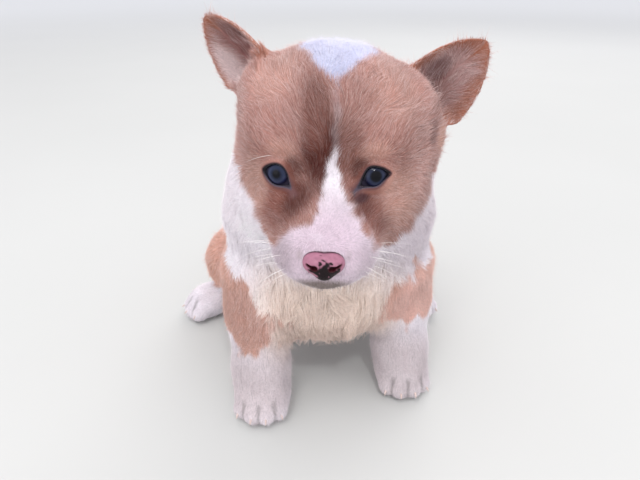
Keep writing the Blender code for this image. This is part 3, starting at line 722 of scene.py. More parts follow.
@dataclass
class EyePlace:
    """Where an eye sits in the head, and the opening between its lids."""

    head: HeadPlace
    side: Side
    across: float
    corners: Sequence[tuple[float, float]]
    radius: float = 0.0088
    forward: float = -0.0352
    height: float = -0.0064
    outward: float = 16.0
    slant: float = 20.0
    orbit_forward: float = 0.0150
    orbit_radii: Triple = (0.0135, 0.0080, 0.0095)
    reach: float = 0.0150
    lid: float = 0.0010
    gap: float = 0.00006
    centre: Vector = field(init=False)
    sight: Vector = field(init=False)
    frame: Matrix = field(init=False)

    def __post_init__(self) -> None:
        """Works out the eye's centre, its line of sight, its frame and the lids' smooth edge."""
        sign, angle = self.side.value, math.radians(self.outward)
        self.centre = Vector((sign * self.across, self.forward, self.height))
        self.sight = Vector((sign * math.sin(angle), -math.cos(angle), 0.0))
        self.frame = self.head.frame @ frame_along(self.centre, self.sight, (0.0, 0.0, 1.0))
        ring = np.radians(np.array(self.corners))
        for _ in range(2):
            after = np.roll(ring, -1, axis=0)
            ring = np.stack([0.75 * ring + 0.25 * after, 0.25 * ring + 0.75 * after], axis=1).reshape(-1, 2)
        self.edge = ring

    def orbit(self) -> Form:
        """The shallow hollow of the face in front of the eye, in the head's frame."""
        sign = self.side.value
        centre = self.centre + self.sight * self.orbit_forward
        return ellipsoid(centre, self.orbit_radii, (0.0, sign * self.slant, sign * self.outward))

    def beyond(self, points: Array) -> Array:
        """How far outside the opening between the lids points are, measured over the eyeball.

        Args:
            points: Points in the world.

        Returns:
            Metres, negative between the lids.
        """
        local = into(self.frame, points)
        far = norms(local)
        tilt = np.arccos(np.clip(local[:, 2] / np.maximum(far, 1e-9), -1.0, 1.0))
        flat = local[:, :2] / np.maximum(np.linalg.norm(local[:, :2], axis=1, keepdims=True), 1e-9)
        flat *= tilt[:, None]
        nearest = np.full(len(points), np.inf)
        inside = np.zeros(len(points), bool)
        for start, end in zip(self.edge, np.roll(self.edge, -1, axis=0)):
            run, off = end - start, flat - start
            along = np.clip(off @ run / (run @ run), 0.0, 1.0)
            nearest = np.minimum(nearest, ((off - along[:, None] * run) ** 2).sum(axis=1))
            spans = (start[1] > flat[:, 1]) != (end[1] > flat[:, 1])
            slope = run[0] / run[1] if run[1] else 0.0
            inside ^= spans & (flat[:, 0] < start[0] + slope * (flat[:, 1] - start[1]))
        return np.sqrt(nearest) * np.where(inside, -1.0, 1.0) * np.minimum(far, 0.012)

    def near(self, points: Array) -> Array:
        """Which points are close enough to the eye for its lids to matter."""
        return norms(points - np.array(self.frame.translation)) < self.reach + 0.004

    def opened(self, face: Form) -> Form:
        """A form: the face with lids over the eyeball and the opening between them.

        Args:
            face: The face without its eyes.

        Returns:
            The form.
        """
        middle = np.array(self.frame.translation)

        def distance(points: Array) -> Array:
            """How far outside points are."""
            value = face(points)
            near = self.near(points)
            close = points[near]
            if len(close):
                far = norms(close - middle)
                hole = np.maximum(self.beyond(close), far - self.reach)
                parts = (lambda _: value[near], lambda _: far - self.radius - self.lid,
                         lambda _: hole, lambda _: far - self.radius - self.gap)
                lidded = hollowed(blended(parts[:2], 0.0035), parts[2], 0.0009)
                value[near] = hollowed(lidded, parts[3], 0.0001)(close)
            return value

        return distance


@dataclass
class EarPlace:
    """Where an ear stands and how its leaf is cupped."""

    base: Triple
    tip: Triple
    opening: Triple
    width: float = 0.0212
    cup: float = 0.0110
    rim: float = 0.0016
    swell: float = 0.0020
    frame: Matrix = field(init=False)
    length: float = field(init=False)

    def __post_init__(self) -> None:
        """Works out the ear's frame: Z up to its tip, Y the way its cup opens."""
        run = Vector(self.tip) - Vector(self.base)
        self.frame = frame_along(self.base, run, self.opening)
        self.length = run.length - 0.0008

    def half_width(self, share: Array) -> Array:
        """Half the leaf's width at a share of its length."""
        up = np.clip(share, 0.0, 1.0)
        return self.width * (1.0 - up**2.3) ** 0.72 * (1.0 - 1.6 * np.maximum(0.16 - up, 0.0))

    def room(self, points: Array) -> Array:
        """How far points of the leaf are from its rim, in metres."""
        local = into(self.frame, points)
        half = self.half_width(local[:, 2] / self.length)
        return np.minimum(half - np.abs(local[:, 0]), self.length - local[:, 2])

    def form(self) -> Form:
        """The leaf as a form, in the world."""

        def distance(points: Array) -> Array:
            """How far outside points are."""
            local = into(self.frame, points)
            share = local[:, 2] / self.length
            held = np.clip(share, 0.0, 1.0)
            half = np.maximum(self.half_width(share), 0.0006)
            across = local[:, 0] / half
            shelf = np.clip(1.0 - across**2, -0.4, 1.0)
            deep = self.cup * (1.0 - held) ** 0.7
            steep = np.minimum(2.0 * deep * np.abs(across) / half, 2.0)
            thick = self.rim + self.swell * (1.0 - held) * np.clip(shelf, 0.0, 1.0)
            sheet = (np.abs(local[:, 1] + deep * shelf) / np.sqrt(1.0 + steep**2)) - thick / 2.0
            edge = (np.abs(local[:, 0]) - half) * 0.8
            ends = np.maximum(local[:, 2] - self.length, -0.012 - local[:, 2])
            rim = np.maximum(edge, ends)
            outside = np.sqrt(np.maximum(sheet, 0.0) ** 2 + np.maximum(rim, 0.0) ** 2)
            return outside + np.minimum(np.maximum(sheet, rim), 0.0)

        return distance


@dataclass
class Leg:
    """A leg's joints and paw."""

    points: Sequence[Triple]
    radii: Sequence[tuple[float, float]]
    toe_turn: float
    paw_width: float
    paw_length: float
    thigh: bool = False

    @property
    def paw(self) -> Triple:
        """The middle of the paw."""
        return self.points[-1]

    def toes(self) -> list[tuple[Vector, Vector]]:
        """Root and tip of each toe."""
        turn = Matrix.Rotation(math.radians(self.toe_turn), 3, "Z")
        middle = Vector((self.paw[0], self.paw[1], 0.0))
        lines = []
        for across, forward in ((-1.0, 0.55), (-0.36, 1.0), (0.36, 1.0), (1.0, 0.55)):
            root = middle + turn @ Vector((across * 0.0085, -0.004, 0.0105))
            tip = middle + turn @ Vector((across * 0.0112, -0.0045 - 0.0095 * forward, 0.0078))
            lines.append((root, tip))
        return lines

    def groove(self, points: Array) -> Array:
        """How far points lie in the grooves between the toes, 0 to 1."""
        far = [limb(root, tip, 0.0, 0.0)(points) for root, tip in self.toes()]
        deep = np.zeros(len(points))
        for first, second in zip(far, far[1:]):
            between = soft_step(1.0 - np.abs(first - second) / 0.0019)
            deep = np.maximum(deep, between * soft_step((0.0120 - np.minimum(first, second)) / 0.004))
        return deep

    def form(self) -> Form:
        """The leg with its toes kept distinct."""
        limbs = [limb(a, b, *radii) for a, b, radii in zip(self.points, self.points[1:], self.radii)]
        if self.thigh:
            hip, knee = Vector(self.points[0]), Vector(self.points[1])
            along = knee - hip
            turn = math.degrees(math.atan2(along.y, along.x))
            limbs.insert(1, ellipsoid((hip + knee) / 2.0, (0.044, 0.030, 0.040), (0.0, 0.0, turn)))
        ball = ellipsoid((self.paw[0], self.paw[1], 0.0115), (self.paw_width, self.paw_length, 0.0120),
                         (0.0, 0.0, self.toe_turn))
        toes = [limb(root, tip, 0.0068, 0.0062) for root, tip in self.toes()]
        return blended([blended(limbs, 0.012), blended([ball, *toes], 0.0035)], 0.006)


def foreleg(shoulder: Triple, elbow: Triple, wrist: Triple, paw: Triple, toe_turn: float) -> Leg:
    """A foreleg from the shoulder to the toes."""
    radii = ((0.0260, 0.0210), (0.0200, 0.0168), (0.0165, 0.0150))
    return Leg((shoulder, elbow, wrist, paw), radii, toe_turn, 0.0172, 0.0162)


def hindleg(hip: Triple, knee: Triple, hock: Triple, foot: Triple, toe_turn: float) -> Leg:
    """A folded hind leg, with its foot flat on the floor."""
    radii = ((0.0320, 0.0220), (0.0225, 0.0160), (0.0145, 0.0125))
    return Leg((hip, knee, hock, foot), radii, toe_turn, 0.0160, 0.0150, thigh=True)


@dataclass
class CoatZone:
    """A soft zone of the coat, in the head's own frame or in the world."""

    name: str
    centre: Triple
    radii: Triple
    depth: float
    length: float
    width: float
    density: float
    on_head: bool = False
    both_sides: bool = False
    clump: float = 0.0


MM = 0.001
COAT_ZONES = (
    CoatZone("back", (0.0, -0.020, 0.110), (0.120, 0.110, 0.100), 3.2, 9.0, 0.72, 1.7, clump=0.2),
    CoatZone("rump", (0.0, 0.030, 0.050), (0.100, 0.070, 0.080), 3.2, 9.0, 0.72, 1.7, clump=0.2),
    CoatZone("belly", (0.0, -0.050, 0.030), (0.040, 0.070, 0.030), 2.4, 8.0, 0.90, 0.9),
    CoatZone("thigh", (0.075, -0.020, 0.050), (0.055, 0.075, 0.065), 2.8, 8.0, 0.66, 2.0, both_sides=True),
    CoatZone("foreleg", (0.048, -0.120, 0.050), (0.040, 0.048, 0.060), 1.5, 4.6, 0.37, 3.7, both_sides=True),
    CoatZone("tail", (0.002, 0.062, 0.035), (0.034, 0.028, 0.032), 3.4, 10.0, 0.70, 2.0, clump=0.5),
    CoatZone("hindfoot_right", (-0.086, -0.042, 0.010), (0.044, 0.036, 0.024), 1.1, 3.6, 0.42, 3.0),
    CoatZone("hindfoot_left", (0.070, -0.040, 0.010), (0.036, 0.044, 0.024), 1.1, 3.6, 0.42, 3.0),
    CoatZone("forepaw", (0.046, -0.138, 0.010), (0.036, 0.044, 0.026), 0.9, 2.8, 0.32, 5.0, both_sides=True),
    CoatZone("neck", (0.001, -0.090, 0.130), (0.080, 0.060, 0.040), 4.2, 11.5, 0.62, 2.3, clump=0.35),
    CoatZone("bib", (0.0, -0.128, 0.085), (0.056, 0.045, 0.052), 4.8, 15.0, 0.60, 2.6, clump=0.60),
    CoatZone("crown", (0.0, 0.004, 0.034), (0.066, 0.062, 0.048), 3.0, 8.2, 0.48, 3.7, True, clump=0.12),
    CoatZone("cheek", (0.046, -0.008, -0.026), (0.034, 0.040, 0.042), 3.8, 10.0, 0.48, 3.8, True, True,
             clump=0.2),
    CoatZone("forehead", (0.0, -0.040, 0.022), (0.050, 0.036, 0.034), 1.9, 7.0, 0.42, 4.6, True, clump=0.12),
    CoatZone("face", (0.022, -0.044, -0.014), (0.032, 0.030, 0.030), 1.1, 4.0, 0.33, 6.6, True, True),
    CoatZone("muzzle", (0.0, -0.062, -0.034), (0.036, 0.034, 0.030), 0.9, 2.5, 0.27, 8.5, True),
)
EAR_COAT = CoatZone("ear", (0.0, 0.0, 0.0), (0.0, 0.0, 0.0), 0.5, 3.6, 0.34, 5.4)
BASE_COAT = (3.0, 9.0, 0.72, 1.7, 0.0)


@dataclass
class Physique:
    """The puppy's whole form, out to the tips of its short coat, and how deep the coat is."""

    head: HeadPlace = field(default_factory=HeadPlace)
    pelvis: Triple = (0.000, 0.002, 0.048)
    belly: Triple = (0.000, -0.046, 0.076)
    chest: Triple = (0.000, -0.096, 0.092)
    withers: Triple = (0.000, -0.070, 0.114)
    nape: Triple = (0.001, -0.088, 0.146)
    tail_root: Triple = (0.000, 0.044, 0.030)
    tail_tip: Triple = (0.002, 0.066, 0.036)
    mouth_corner: Triple = (0.0, -0.0360, -0.0420)
    mouth_slope: float = 9.0
    jaw: Triple = (0.0, -0.0520, -0.0460)
    jaw_radii: Triple = (0.0300, 0.0250, 0.0140)
    ears: dict[Side, EarPlace] = field(default_factory=lambda: {
        Side.RIGHT: EarPlace((-0.0405, -0.098, 0.1930), (-0.0636, -0.090, 0.2235), (-0.80, -0.62, 0.05)),
        Side.LEFT: EarPlace((0.0510, -0.098, 0.1780), (0.0815, -0.098, 0.2125), (0.15, -1.0, 0.10)),
    })
    forelegs: dict[Side, Leg] = field(default_factory=lambda: {
        Side.RIGHT: foreleg((-0.040, -0.108, 0.080), (-0.0415, -0.116, 0.058),
                            (-0.0405, -0.135, 0.026), (-0.0395, -0.1425, 0.014), -4.0),
        Side.LEFT: foreleg((0.042, -0.102, 0.080), (0.0455, -0.104, 0.058),
                           (0.0485, -0.115, 0.026), (0.0500, -0.1215, 0.014), 6.0),
    })
    hindlegs: dict[Side, Leg] = field(default_factory=lambda: {
        Side.RIGHT: hindleg((-0.026, 0.002, 0.048), (-0.067, -0.044, 0.050),
                            (-0.056, -0.022, 0.0165), (-0.094, -0.044, 0.012), -66.0),
        Side.LEFT: hindleg((0.026, 0.004, 0.048), (0.059, -0.044, 0.050),
                           (0.058, 0.000, 0.0165), (0.071, -0.042, 0.012), 18.0),
    })
    eyes: dict[Side, EyePlace] = field(init=False)

    def __post_init__(self) -> None:
        """Places the eyes in the head."""
        self.eyes = {
            Side.RIGHT: EyePlace(self.head, Side.RIGHT, 0.0218, (
                (-48.6, 12.2), (-36.9, 24.4), (-22.6, 32.7), (-7.1, 38.2), (7.7, 38.3), (20.9, 31.9),
                (30.1, 21.3), (35.5, 9.3), (38.6, -5.4), (42.1, -31.5), (26.4, -28.8), (11.5, -28.1),
                (-2.6, -27.6), (-15.2, -22.3), (-27.3, -13.0), (-40.3, -1.0))),
            Side.LEFT: EyePlace(self.head, Side.LEFT, 0.0208, (
                (44.0, 16.0), (23.2, 32.1), (8.1, 38.5), (-8.3, 42.1), (-22.1, 41.3), (-33.3, 34.6),
                (-41.0, 20.5), (-47.5, 5.4), (-54.5, -26.3), (-32.9, -19.8), (-20.2, -18.6), (-7.4, -17.1),
                (2.6, -13.1), (12.3, -3.9), (22.3, 4.9), (33.5, 10.9))),
        }

    def legs(self) -> list[Leg]:
        """All four legs."""
        return [*self.forelegs.values(), *self.hindlegs.values()]

    def trunk_form(self) -> Form:
        """Rump, belly, ribs, chest, neck and tail."""
        forms = [
            ellipsoid(self.pelvis, (0.050, 0.048, 0.049)),
            ellipsoid((0.0, 0.010, 0.030), (0.047, 0.042, 0.032)),
            limb((0.0, -0.004, 0.066), (0.0, -0.058, 0.104), 0.044, 0.047),
            ellipsoid(self.belly, (0.053, 0.060, 0.050), (-30.0, 0.0, 0.0)),
            ellipsoid(self.chest, (0.054, 0.048, 0.050)),
            ellipsoid((0.0, -0.122, 0.078), (0.038, 0.026, 0.034)),
            ellipsoid(self.withers, (0.050, 0.044, 0.040)),
            limb(self.withers, self.nape, 0.044, 0.044),
            ellipsoid((0.001, -0.104, 0.118), (0.062, 0.042, 0.030)),
        ]
        tail = limb(self.tail_root, self.tail_tip, 0.0125, 0.0100)
        return blended([blended(forms, 0.022), tail], 0.010)

    def head_form(self) -> Form:
        """The head in its own frame."""
        forms = [
            ellipsoid((0.0, 0.004, 0.009), (0.0495, 0.047, 0.0405)),
            ellipsoid((0.0, -0.014, 0.004), (0.042, 0.029, 0.034)),
            ellipsoid((0.0, -0.035, -0.0250), (0.0245, 0.027, 0.0165)),
            ellipsoid((0.0, -0.0560, -0.0325), (0.0185, 0.0185, 0.0140)),
            ellipsoid((0.0, -0.0500, -0.0475), (0.0120, 0.0165, 0.0085)),
        ]
        for side in Side:
            sign = side.value
            forms += [
                ellipsoid((sign * 0.027, -0.004, -0.024), (0.028, 0.034, 0.031)),
                ellipsoid((sign * 0.0200, -0.0225, -0.0225), (0.0210, 0.0215, 0.0185)),
                ellipsoid((sign * 0.0215, -0.0315, 0.0050), (0.0125, 0.0100, 0.0095)),
                ellipsoid((sign * 0.0118, -0.0530, -0.0372), (0.0128, 0.0165, 0.0108)),
            ]
        forms.append(ellipsoid((-0.0360, 0.0060, 0.0220), (0.0110, 0.0130, 0.0170)))
        forms.append(ellipsoid((0.0450, 0.0050, 0.0080), (0.0150, 0.0150, 0.0260), (0.0, -22.0, 0.0)))
        face = blended(forms, 0.015)
        for eye in self.eyes.values():
            face = hollowed(face, eye.orbit(), 0.006)
        return face

    def mouth_line(self) -> Form:
        """The thin crease between the lips, in the head's frame."""
        bowl = ellipsoid(self.jaw, self.jaw_radii)
        point = np.array(self.mouth_corner)
        slope = math.radians(self.mouth_slope)
        down = np.array((0.0, -math.sin(slope), -math.cos(slope)))

        def distance(points: Array) -> Array:
            """How far outside the crease points are."""
            below = (point - points) @ down
            return np.abs(np.maximum(bowl(points), below)) - 0.0005

        return distance

    def coat_form(self) -> Form:
        """The whole puppy without its ears, out to the tips of the coat."""
        head = placed(self.head_form(), self.head.frame)
        whole = blended([self.trunk_form(), head], 0.020)
        for leg in self.forelegs.values():
            whole = blended([whole, leg.form()], 0.016)
        for leg in self.hindlegs.values():
            whole = blended([whole, leg.form()], 0.018)
        return whole

    def flesh(self, points: Array) -> Array:
        """How far outside the flesh points are: the coat's form less its depth."""
        return self.coat_form()(points) + self.coat_share(points)[:, 0]

    def skin_form(self) -> Form:
        """The skin: the flesh with ears, eye openings and the mouth line."""
        mouth = placed(self.mouth_line(), self.head.frame)

        def crease(points: Array) -> Array:
            """How far outside the crease of the mouth points are, a few millimetres deep."""
            return np.maximum(mouth(points), -self.flesh(points) - 0.0035)

        whole = hollowed(self.flesh, crease, 0.0008)
        for ear in self.ears.values():
            whole = blended([whole, ear.form()], 0.007)
        for eye in self.eyes.values():
            whole = eye.opened(whole)
        return whole

    def coat_share(self, points: Array) -> Array:
        """The coat at points: depth, length, width, density and clumping, in metres and per square metre.

        Args:
            points: Points on or near the skin.

        Returns:
            Five values for each point.
        """
        local = into(self.head.frame, points)
        coat = np.tile(np.array(BASE_COAT), (len(points), 1))
        for zone in COAT_ZONES:
            where = (local if zone.on_head else points).copy()
            if zone.both_sides:
                where[:, 0] = np.abs(where[:, 0])
            share = zone_share(where, zone.centre, zone.radii)[:, None]
            value = np.array((zone.depth, zone.length, zone.width, zone.density, zone.clump))
            coat += (value - coat) * share
        coat[:, :3] *= MM
        coat[:, 3] *= 1e6
        return coat

    def ear_share(self, points: Array) -> tuple[Array, Array]:
        """Which points are on an ear's leaf, and which of them are inside its cup.

        Args:
            points: Points on the skin.

        Returns:
            How far each point belongs to an ear, and how far it is inside the cup, 0 to 1.
        """
        on_ear, in_cup = np.zeros(len(points)), np.zeros(len(points))
        for ear in self.ears.values():
            local = into(ear.frame, points)
            near = soft_step(1.0 - (ear.form()(points) - 0.0006) / 0.0025)
            near *= soft_step((local[:, 2] - 0.001) / 0.006)
            share = local[:, 2] / ear.length
            half = np.maximum(ear.half_width(share), 0.001)
            middle = -ear.cup * (1.0 - np.clip(share, 0, 1)) ** 0.7 * (1.0 - (local[:, 0] / half) ** 2)
            on_ear = np.maximum(on_ear, near)
            in_cup = np.maximum(in_cup, near * (local[:, 1] > middle))
        return on_ear, in_cup


@dataclass
class Markings:
    """The puppy's colours: red above, white below, a blaze that widens into the muzzle, and painted shade in
    creases, hollows, toe grooves and shadowed places.
    """

    body: Physique
    draw: np.random.Generator
    blaze: Sequence[Triple] = (
        (-60, -25.0, 25.0), (-30, -23.0, 24.0), (-27, -21.5, 22.7), (-25, -20.5, 21.5),
        (-22.4, -18.6, 19.2), (-19.6, -14.6, 16.6), (-18.3, -12.5, 15.0), (-16.5, -6.5, 12.5),
        (-15, -4.2, 10.3), (-12.7, -2.2, 8.1), (-7, -0.8, 6.0), (-0.7, -0.1, 4.2), (8.5, 1.1, 3.2),
        (15.7, 1.4, 3.4), (24.7, 1.8, 4.6), (40, 1.6, 4.4), (47.7, 0.9, 2.9), (52.5, -3.5, 6.2),
        (60, -7.3, 11.0), (70, -11.6, 15.2), (84, -16.0, 20.5), (95, -16.0, 20.0), (130, -9.0, 12.0),
        (175, -9.0, 12.0))
    mask_left: Sequence[Pair] = (
        (-50.0, 30.0), (-43.1, 38.0), (-37.8, 47.0), (-33.8, 53.0), (-27.6, 60.0), (-24.1, 68.0),
        (-16.0, 84.0), (-8.0, 200.0))
    mask_right: Sequence[Pair] = (
        (-46.0, 27.0), (-41.0, 30.0), (-35.2, 34.0), (-29.2, 37.0), (-18.1, 43.5), (-11.7, 58.0),
        (-6.0, 84.0), (5.0, 200.0))
    chin: Sequence[Pair] = ((15.0, -26.0), (18.0, -31.0), (34.0, -41.0), (40.0, -46.0))
    bib: Sequence[Pair] = (
        (40.0, 22.0), (50.0, 24.0), (60.0, 29.0), (68.0, 29.5), (85.0, 39.0), (100.0, 51.0),
        (115.0, 63.0))
    thin_blaze: Sequence[Pair] = ((7.0, 1.0), (13.0, 0.12), (44.0, 0.16), (52.0, 1.0))

    def __post_init__(self) -> None:
        """Draws the waver of the markings' edges."""
        self.waver = Ripple(self.draw, 0.008)
        self.patches = Ripple(self.draw, 0.030)

    def white_on_head(self, local: Array) -> Array:
        """How far points of the head lie inside the white, in metres."""
        lift = np.degrees(np.arctan2(local[:, 2], -local[:, 1]))
        turned = np.degrees(np.arctan2(local[:, 0], -local[:, 1]))
        aside = np.abs(turned)
        low = read_off(lift, self.blaze) * MM
        high = read_off(lift, self.blaze, 2) * MM
        blaze = np.minimum(local[:, 0] - low, high - local[:, 0])
        arc = norms(local[:, :2]) * math.pi / 180.0
        height = local[:, 2] / MM
        reach = np.where(turned > 0.0, read_off(height, self.mask_left), read_off(height, self.mask_right))
        outer = (aside - reach) * arc * 0.45
        under = read_off(aside, self.chin) * MM - local[:, 2]
        return np.maximum.reduce([blaze, outer, under])

    def white_on_body(self, points: Array) -> Array:
        """How far points of the neck, trunk and legs lie inside the white, in metres."""
        back = (points[:, 1] + 0.075) * 0.49 - (points[:, 2] - 0.128) * 0.87
        collar = 0.004 - back
        half = read_off(points[:, 2] / MM, self.bib) * MM
        front = np.minimum(half - np.abs(points[:, 0]), -0.078 - points[:, 1])
        behind = points[:, 1] > -0.082
        curve = 0.020 * np.abs(np.abs(points[:, 0]) - 0.040)
        line = 0.0505 + 0.0025 * np.sign(points[:, 0]) + curve
        knee = np.where(behind, 0.0270, line) - points[:, 2]
        seat = np.minimum(0.040 - points[:, 2], 0.040 - np.abs(points[:, 0]))
        return np.maximum.reduce([collar, front, knee, seat])

    def reds(self, points: Array, local: Array) -> Array:
        """The red of the coat, darker by the blaze and paler over the eyes."""
        on_head = soft_step((local[:, 2] + 0.060) / 0.020)[:, None]
        saddle, red = Shade.SADDLE.light, Shade.RED.light
        colour = saddle + (red - saddle) * on_head
        spots = (
            ((-0.0030, -0.046, 0.0060), (0.0135, 0.020, 0.026), Shade.RED_DARK, 1.00),
            ((-0.0060, -0.038, 0.0240), (0.0090, 0.024, 0.022), Shade.RED_DEEP, 0.85),
            ((0.0100, -0.046, 0.0040), (0.0090, 0.018, 0.022), Shade.RED_DEEP, 0.70),
            ((-0.0190, -0.048, -0.0200), (0.0200, 0.018, 0.019), Shade.RED_DEEP, 1.00),
            ((-0.0140, -0.050, -0.0140), (0.0110, 0.014, 0.0120), Shade.RED_DARK, 0.80),
            ((0.0190, -0.048, -0.0210), (0.0170, 0.016, 0.016), Shade.RED_DEEP, 1.00),
            ((0.0160, -0.050, -0.0180), (0.0080, 0.012, 0.0080), Shade.RED_DARK, 0.60),
            ((-0.0160, -0.042, -0.0010), (0.0070, 0.012, 0.0080), Shade.RED_DARK, 0.75),
            ((0.0150, -0.042, -0.0010), (0.0070, 0.012, 0.0080), Shade.RED_DARK, 0.65),
            ((0.0150, -0.046, -0.0140), (0.0075, 0.010, 0.0032), Shade.PLUM, 0.85),
            ((-0.0215, -0.046, 0.0070), (0.0110, 0.014, 0.0065), Shade.TAN, 0.50),
            ((0.0215, -0.046, 0.0080), (0.0110, 0.014, 0.0065), Shade.TAN, 0.50),
            ((-0.0360, -0.042, -0.0120), (0.0100, 0.020, 0.020), Shade.TAN, 0.60),
            ((0.0360, -0.042, -0.0160), (0.0150, 0.020, 0.020), Shade.TAN, 0.60),
            ((-0.0280, -0.020, 0.0360), (0.0200, 0.030, 0.020), Shade.TAN, 0.40),
            ((0.0300, -0.024, 0.0300), (0.0220, 0.030, 0.022), Shade.TAN, 0.35),
            # Painted shade in the crease between the left ear and the skull.
            ((0.0500, -0.0090, 0.0070), (0.0030, 0.006, 0.0110), Shade.PLUM, 0.55),
            ((0.0570, -0.0030, 0.0030), (0.0055, 0.008, 0.0100), Shade.ORANGE, 0.85),
            ((0.0540, -0.0100, -0.0920), (0.0260, 0.040, 0.028), Shade.SHOULDER_PALE, 0.80),
            ((-0.0430, -0.0310, -0.1000), (0.0300, 0.040, 0.034), Shade.SHOULDER_DULL, 0.60),
        )
        for centre, radii, shade, strength in spots:
            colour = towards(colour, shade.light, zone_share(local, centre, radii) * strength)
        return colour * (1.0 + (0.04 + 0.05 * on_head) * self.patches(points)[:, None])

    def whites(self, points: Array, local: Array) -> Array:
        """The white of the coat: cool on the crown, cream on the bib, pink on the muzzle, with painted shade on
        the lower bib, legs, cheek, chin and muzzle.
        """
        colour = np.tile(Shade.WHITE.light, (len(points), 1))
        spots = (
            (local, (0.0, -0.016, 0.045), (0.060, 0.046, 0.040), Shade.CROWN_WHITE, 1.0),
            (local, (0.0, -0.060, -0.034), (0.034, 0.030, 0.030), Shade.MUZZLE_PINK, 0.9),
            (points, (0.0, -0.130, 0.076), (0.060, 0.060, 0.052), Shade.CREAM, 1.0),
            # Painted shade on the lower bib, under the head.
            (points, (0.0, -0.130, 0.052), (0.054, 0.060, 0.032), Shade.CREAM_LOW, 0.9),
            # Painted shade on both forelegs.
            (points, (0.045, -0.130, 0.022), (0.040, 0.060, 0.034), Shade.LEG_WHITE, 0.9),
            (points, (-0.045, -0.135, 0.022), (0.040, 0.060, 0.034), Shade.LEG_WHITE, 0.9),
            # Painted shade on the sides of the muzzle, and on the puppy's left cheek.
            (local, (-0.0190, -0.0640, -0.0340), (0.0110, 0.020, 0.0140), Shade.MUZZLE_GREY, 0.75),
            (local, (0.0200, -0.0640, -0.0340), (0.0110, 0.020, 0.0140), Shade.MUZZLE_GREY, 0.45),
            (local, (0.0500, -0.0180, -0.0480), (0.0400, 0.042, 0.0300), Shade.MUZZLE_GREY, 0.45),
            # Painted shadow on the chin under the muzzle, over the grey of the lip, and painted shade in the
            # creases beside the nose.
            (local, (0.0, -0.0690, -0.0480), (0.0190, 0.014, 0.0075), Shade.CHIN_GREY, 1.0),
            (local, (-0.0108, -0.0760, -0.0290), (0.0032, 0.006, 0.0060), Shade.CHIN_GREY, 0.55),
            (local, (0.0112, -0.0760, -0.0285), (0.0032, 0.006, 0.0060), Shade.CHIN_GREY, 0.55),
        )
        for where, centre, radii, shade, strength in spots:
            colour = towards(colour, shade.light, zone_share(where, centre, radii) * strength)
        return colour * (1.0 + 0.03 * self.patches(points))[:, None]

    def ear_spots(self, side: Side) -> Sequence[tuple[float, float, float, float, Shade, float]]:
        """Patches in an ear's cup: place across and along the leaf, sizes there, shade and strength."""
        if side is Side.LEFT:
            return (
                (0.45, 0.70, 0.60, 0.26, Shade.EAR_INSIDE, 0.6),
                (-0.10, 0.28, 0.40, 0.24, Shade.EAR_DULL, 0.6),
                # Painted shade in the hollow of the cup and in the crease at its base.
                (0.28, 0.40, 0.30, 0.18, Shade.EAR_HOLLOW, 0.70),
                (-0.30, 0.12, 0.50, 0.16, Shade.EAR_DULL, 0.8),
                (0.38, 0.12, 0.30, 0.12, Shade.EAR_CREASE, 0.7),
            )
        return (
            (0.10, 0.78, 0.70, 0.24, Shade.EAR_DULL, 0.8),
            (0.60, 0.32, 0.44, 0.34, Shade.EAR_PALE, 0.95),
            (-0.36, 0.40, 0.54, 0.66, Shade.EAR_FRONT, 0.95),
        )

    def colour(self, points: Array) -> Array:
        """The coat's colour at points.

        Args:
            points: Points on the skin.

        Returns:
            Linear red, green and blue for each point.
        """
        local = into(self.body.head.frame, points)
        on_head = (local[:, 2] > -0.050) & (norms(local) < 0.088)
        ragged = 0.0035 * self.patches(points)
        measure = np.where(on_head, self.white_on_head(local), self.white_on_body(points) + ragged)
        fine = on_head & (local[:, 1] < -0.030) & (local[:, 2] > -0.060)
        edge = np.where(fine, 0.75, 1.0)
        wavy = np.where(on_head, 0.0005, 0.0014)
        share = soft_step(0.5 + (measure + wavy * self.waver(points)) / (0.0034 * edge))
        lift = np.degrees(np.arctan2(local[:, 2], -local[:, 1]))
        share = (share * np.where(on_head, read_off(lift, self.thin_blaze), 1.0))[:, None]
        colour = self.reds(points, local) * (1.0 - share) + self.whites(points, local) * share
        on_ear, in_cup = self.body.ear_share(points)
        colour = towards(colour, Shade.EAR_RIM.light, on_ear)
        for side, ear in self.body.ears.items():
            place = into(ear.frame, points)
            part = np.clip(place[:, 2] / ear.length, 0.0, 1.0)
            across = place[:, 0] / np.maximum(ear.half_width(part), 0.001)
            outer = across * side.value < 0.0
            limit = 0.97 if side is Side.RIGHT else np.where(outer, 0.68, 0.84)
            inner = in_cup * (ear.form()(points) < 0.004) * soft_step((limit - np.abs(across)) / 0.28)
            inner = inner * soft_step((0.84 - part) / 0.20)
            colour = towards(colour, Shade.EAR_INSIDE.light, inner)
            for aside, along, wide, high, shade, strength in self.ear_spots(side):
                far = ((across - aside) / wide) ** 2 + ((part - along) / high) ** 2
                colour = towards(colour, shade.light, inner * strength * soft_step(1.3 - far))
        # Painted shade in the grooves between the toes.
        low = np.nonzero(points[:, 2] < 0.032)[0]
        for leg in self.body.legs():
            colour[low] *= 1.0 - 0.42 * leg.groove(points[low])[:, None]
        return colour


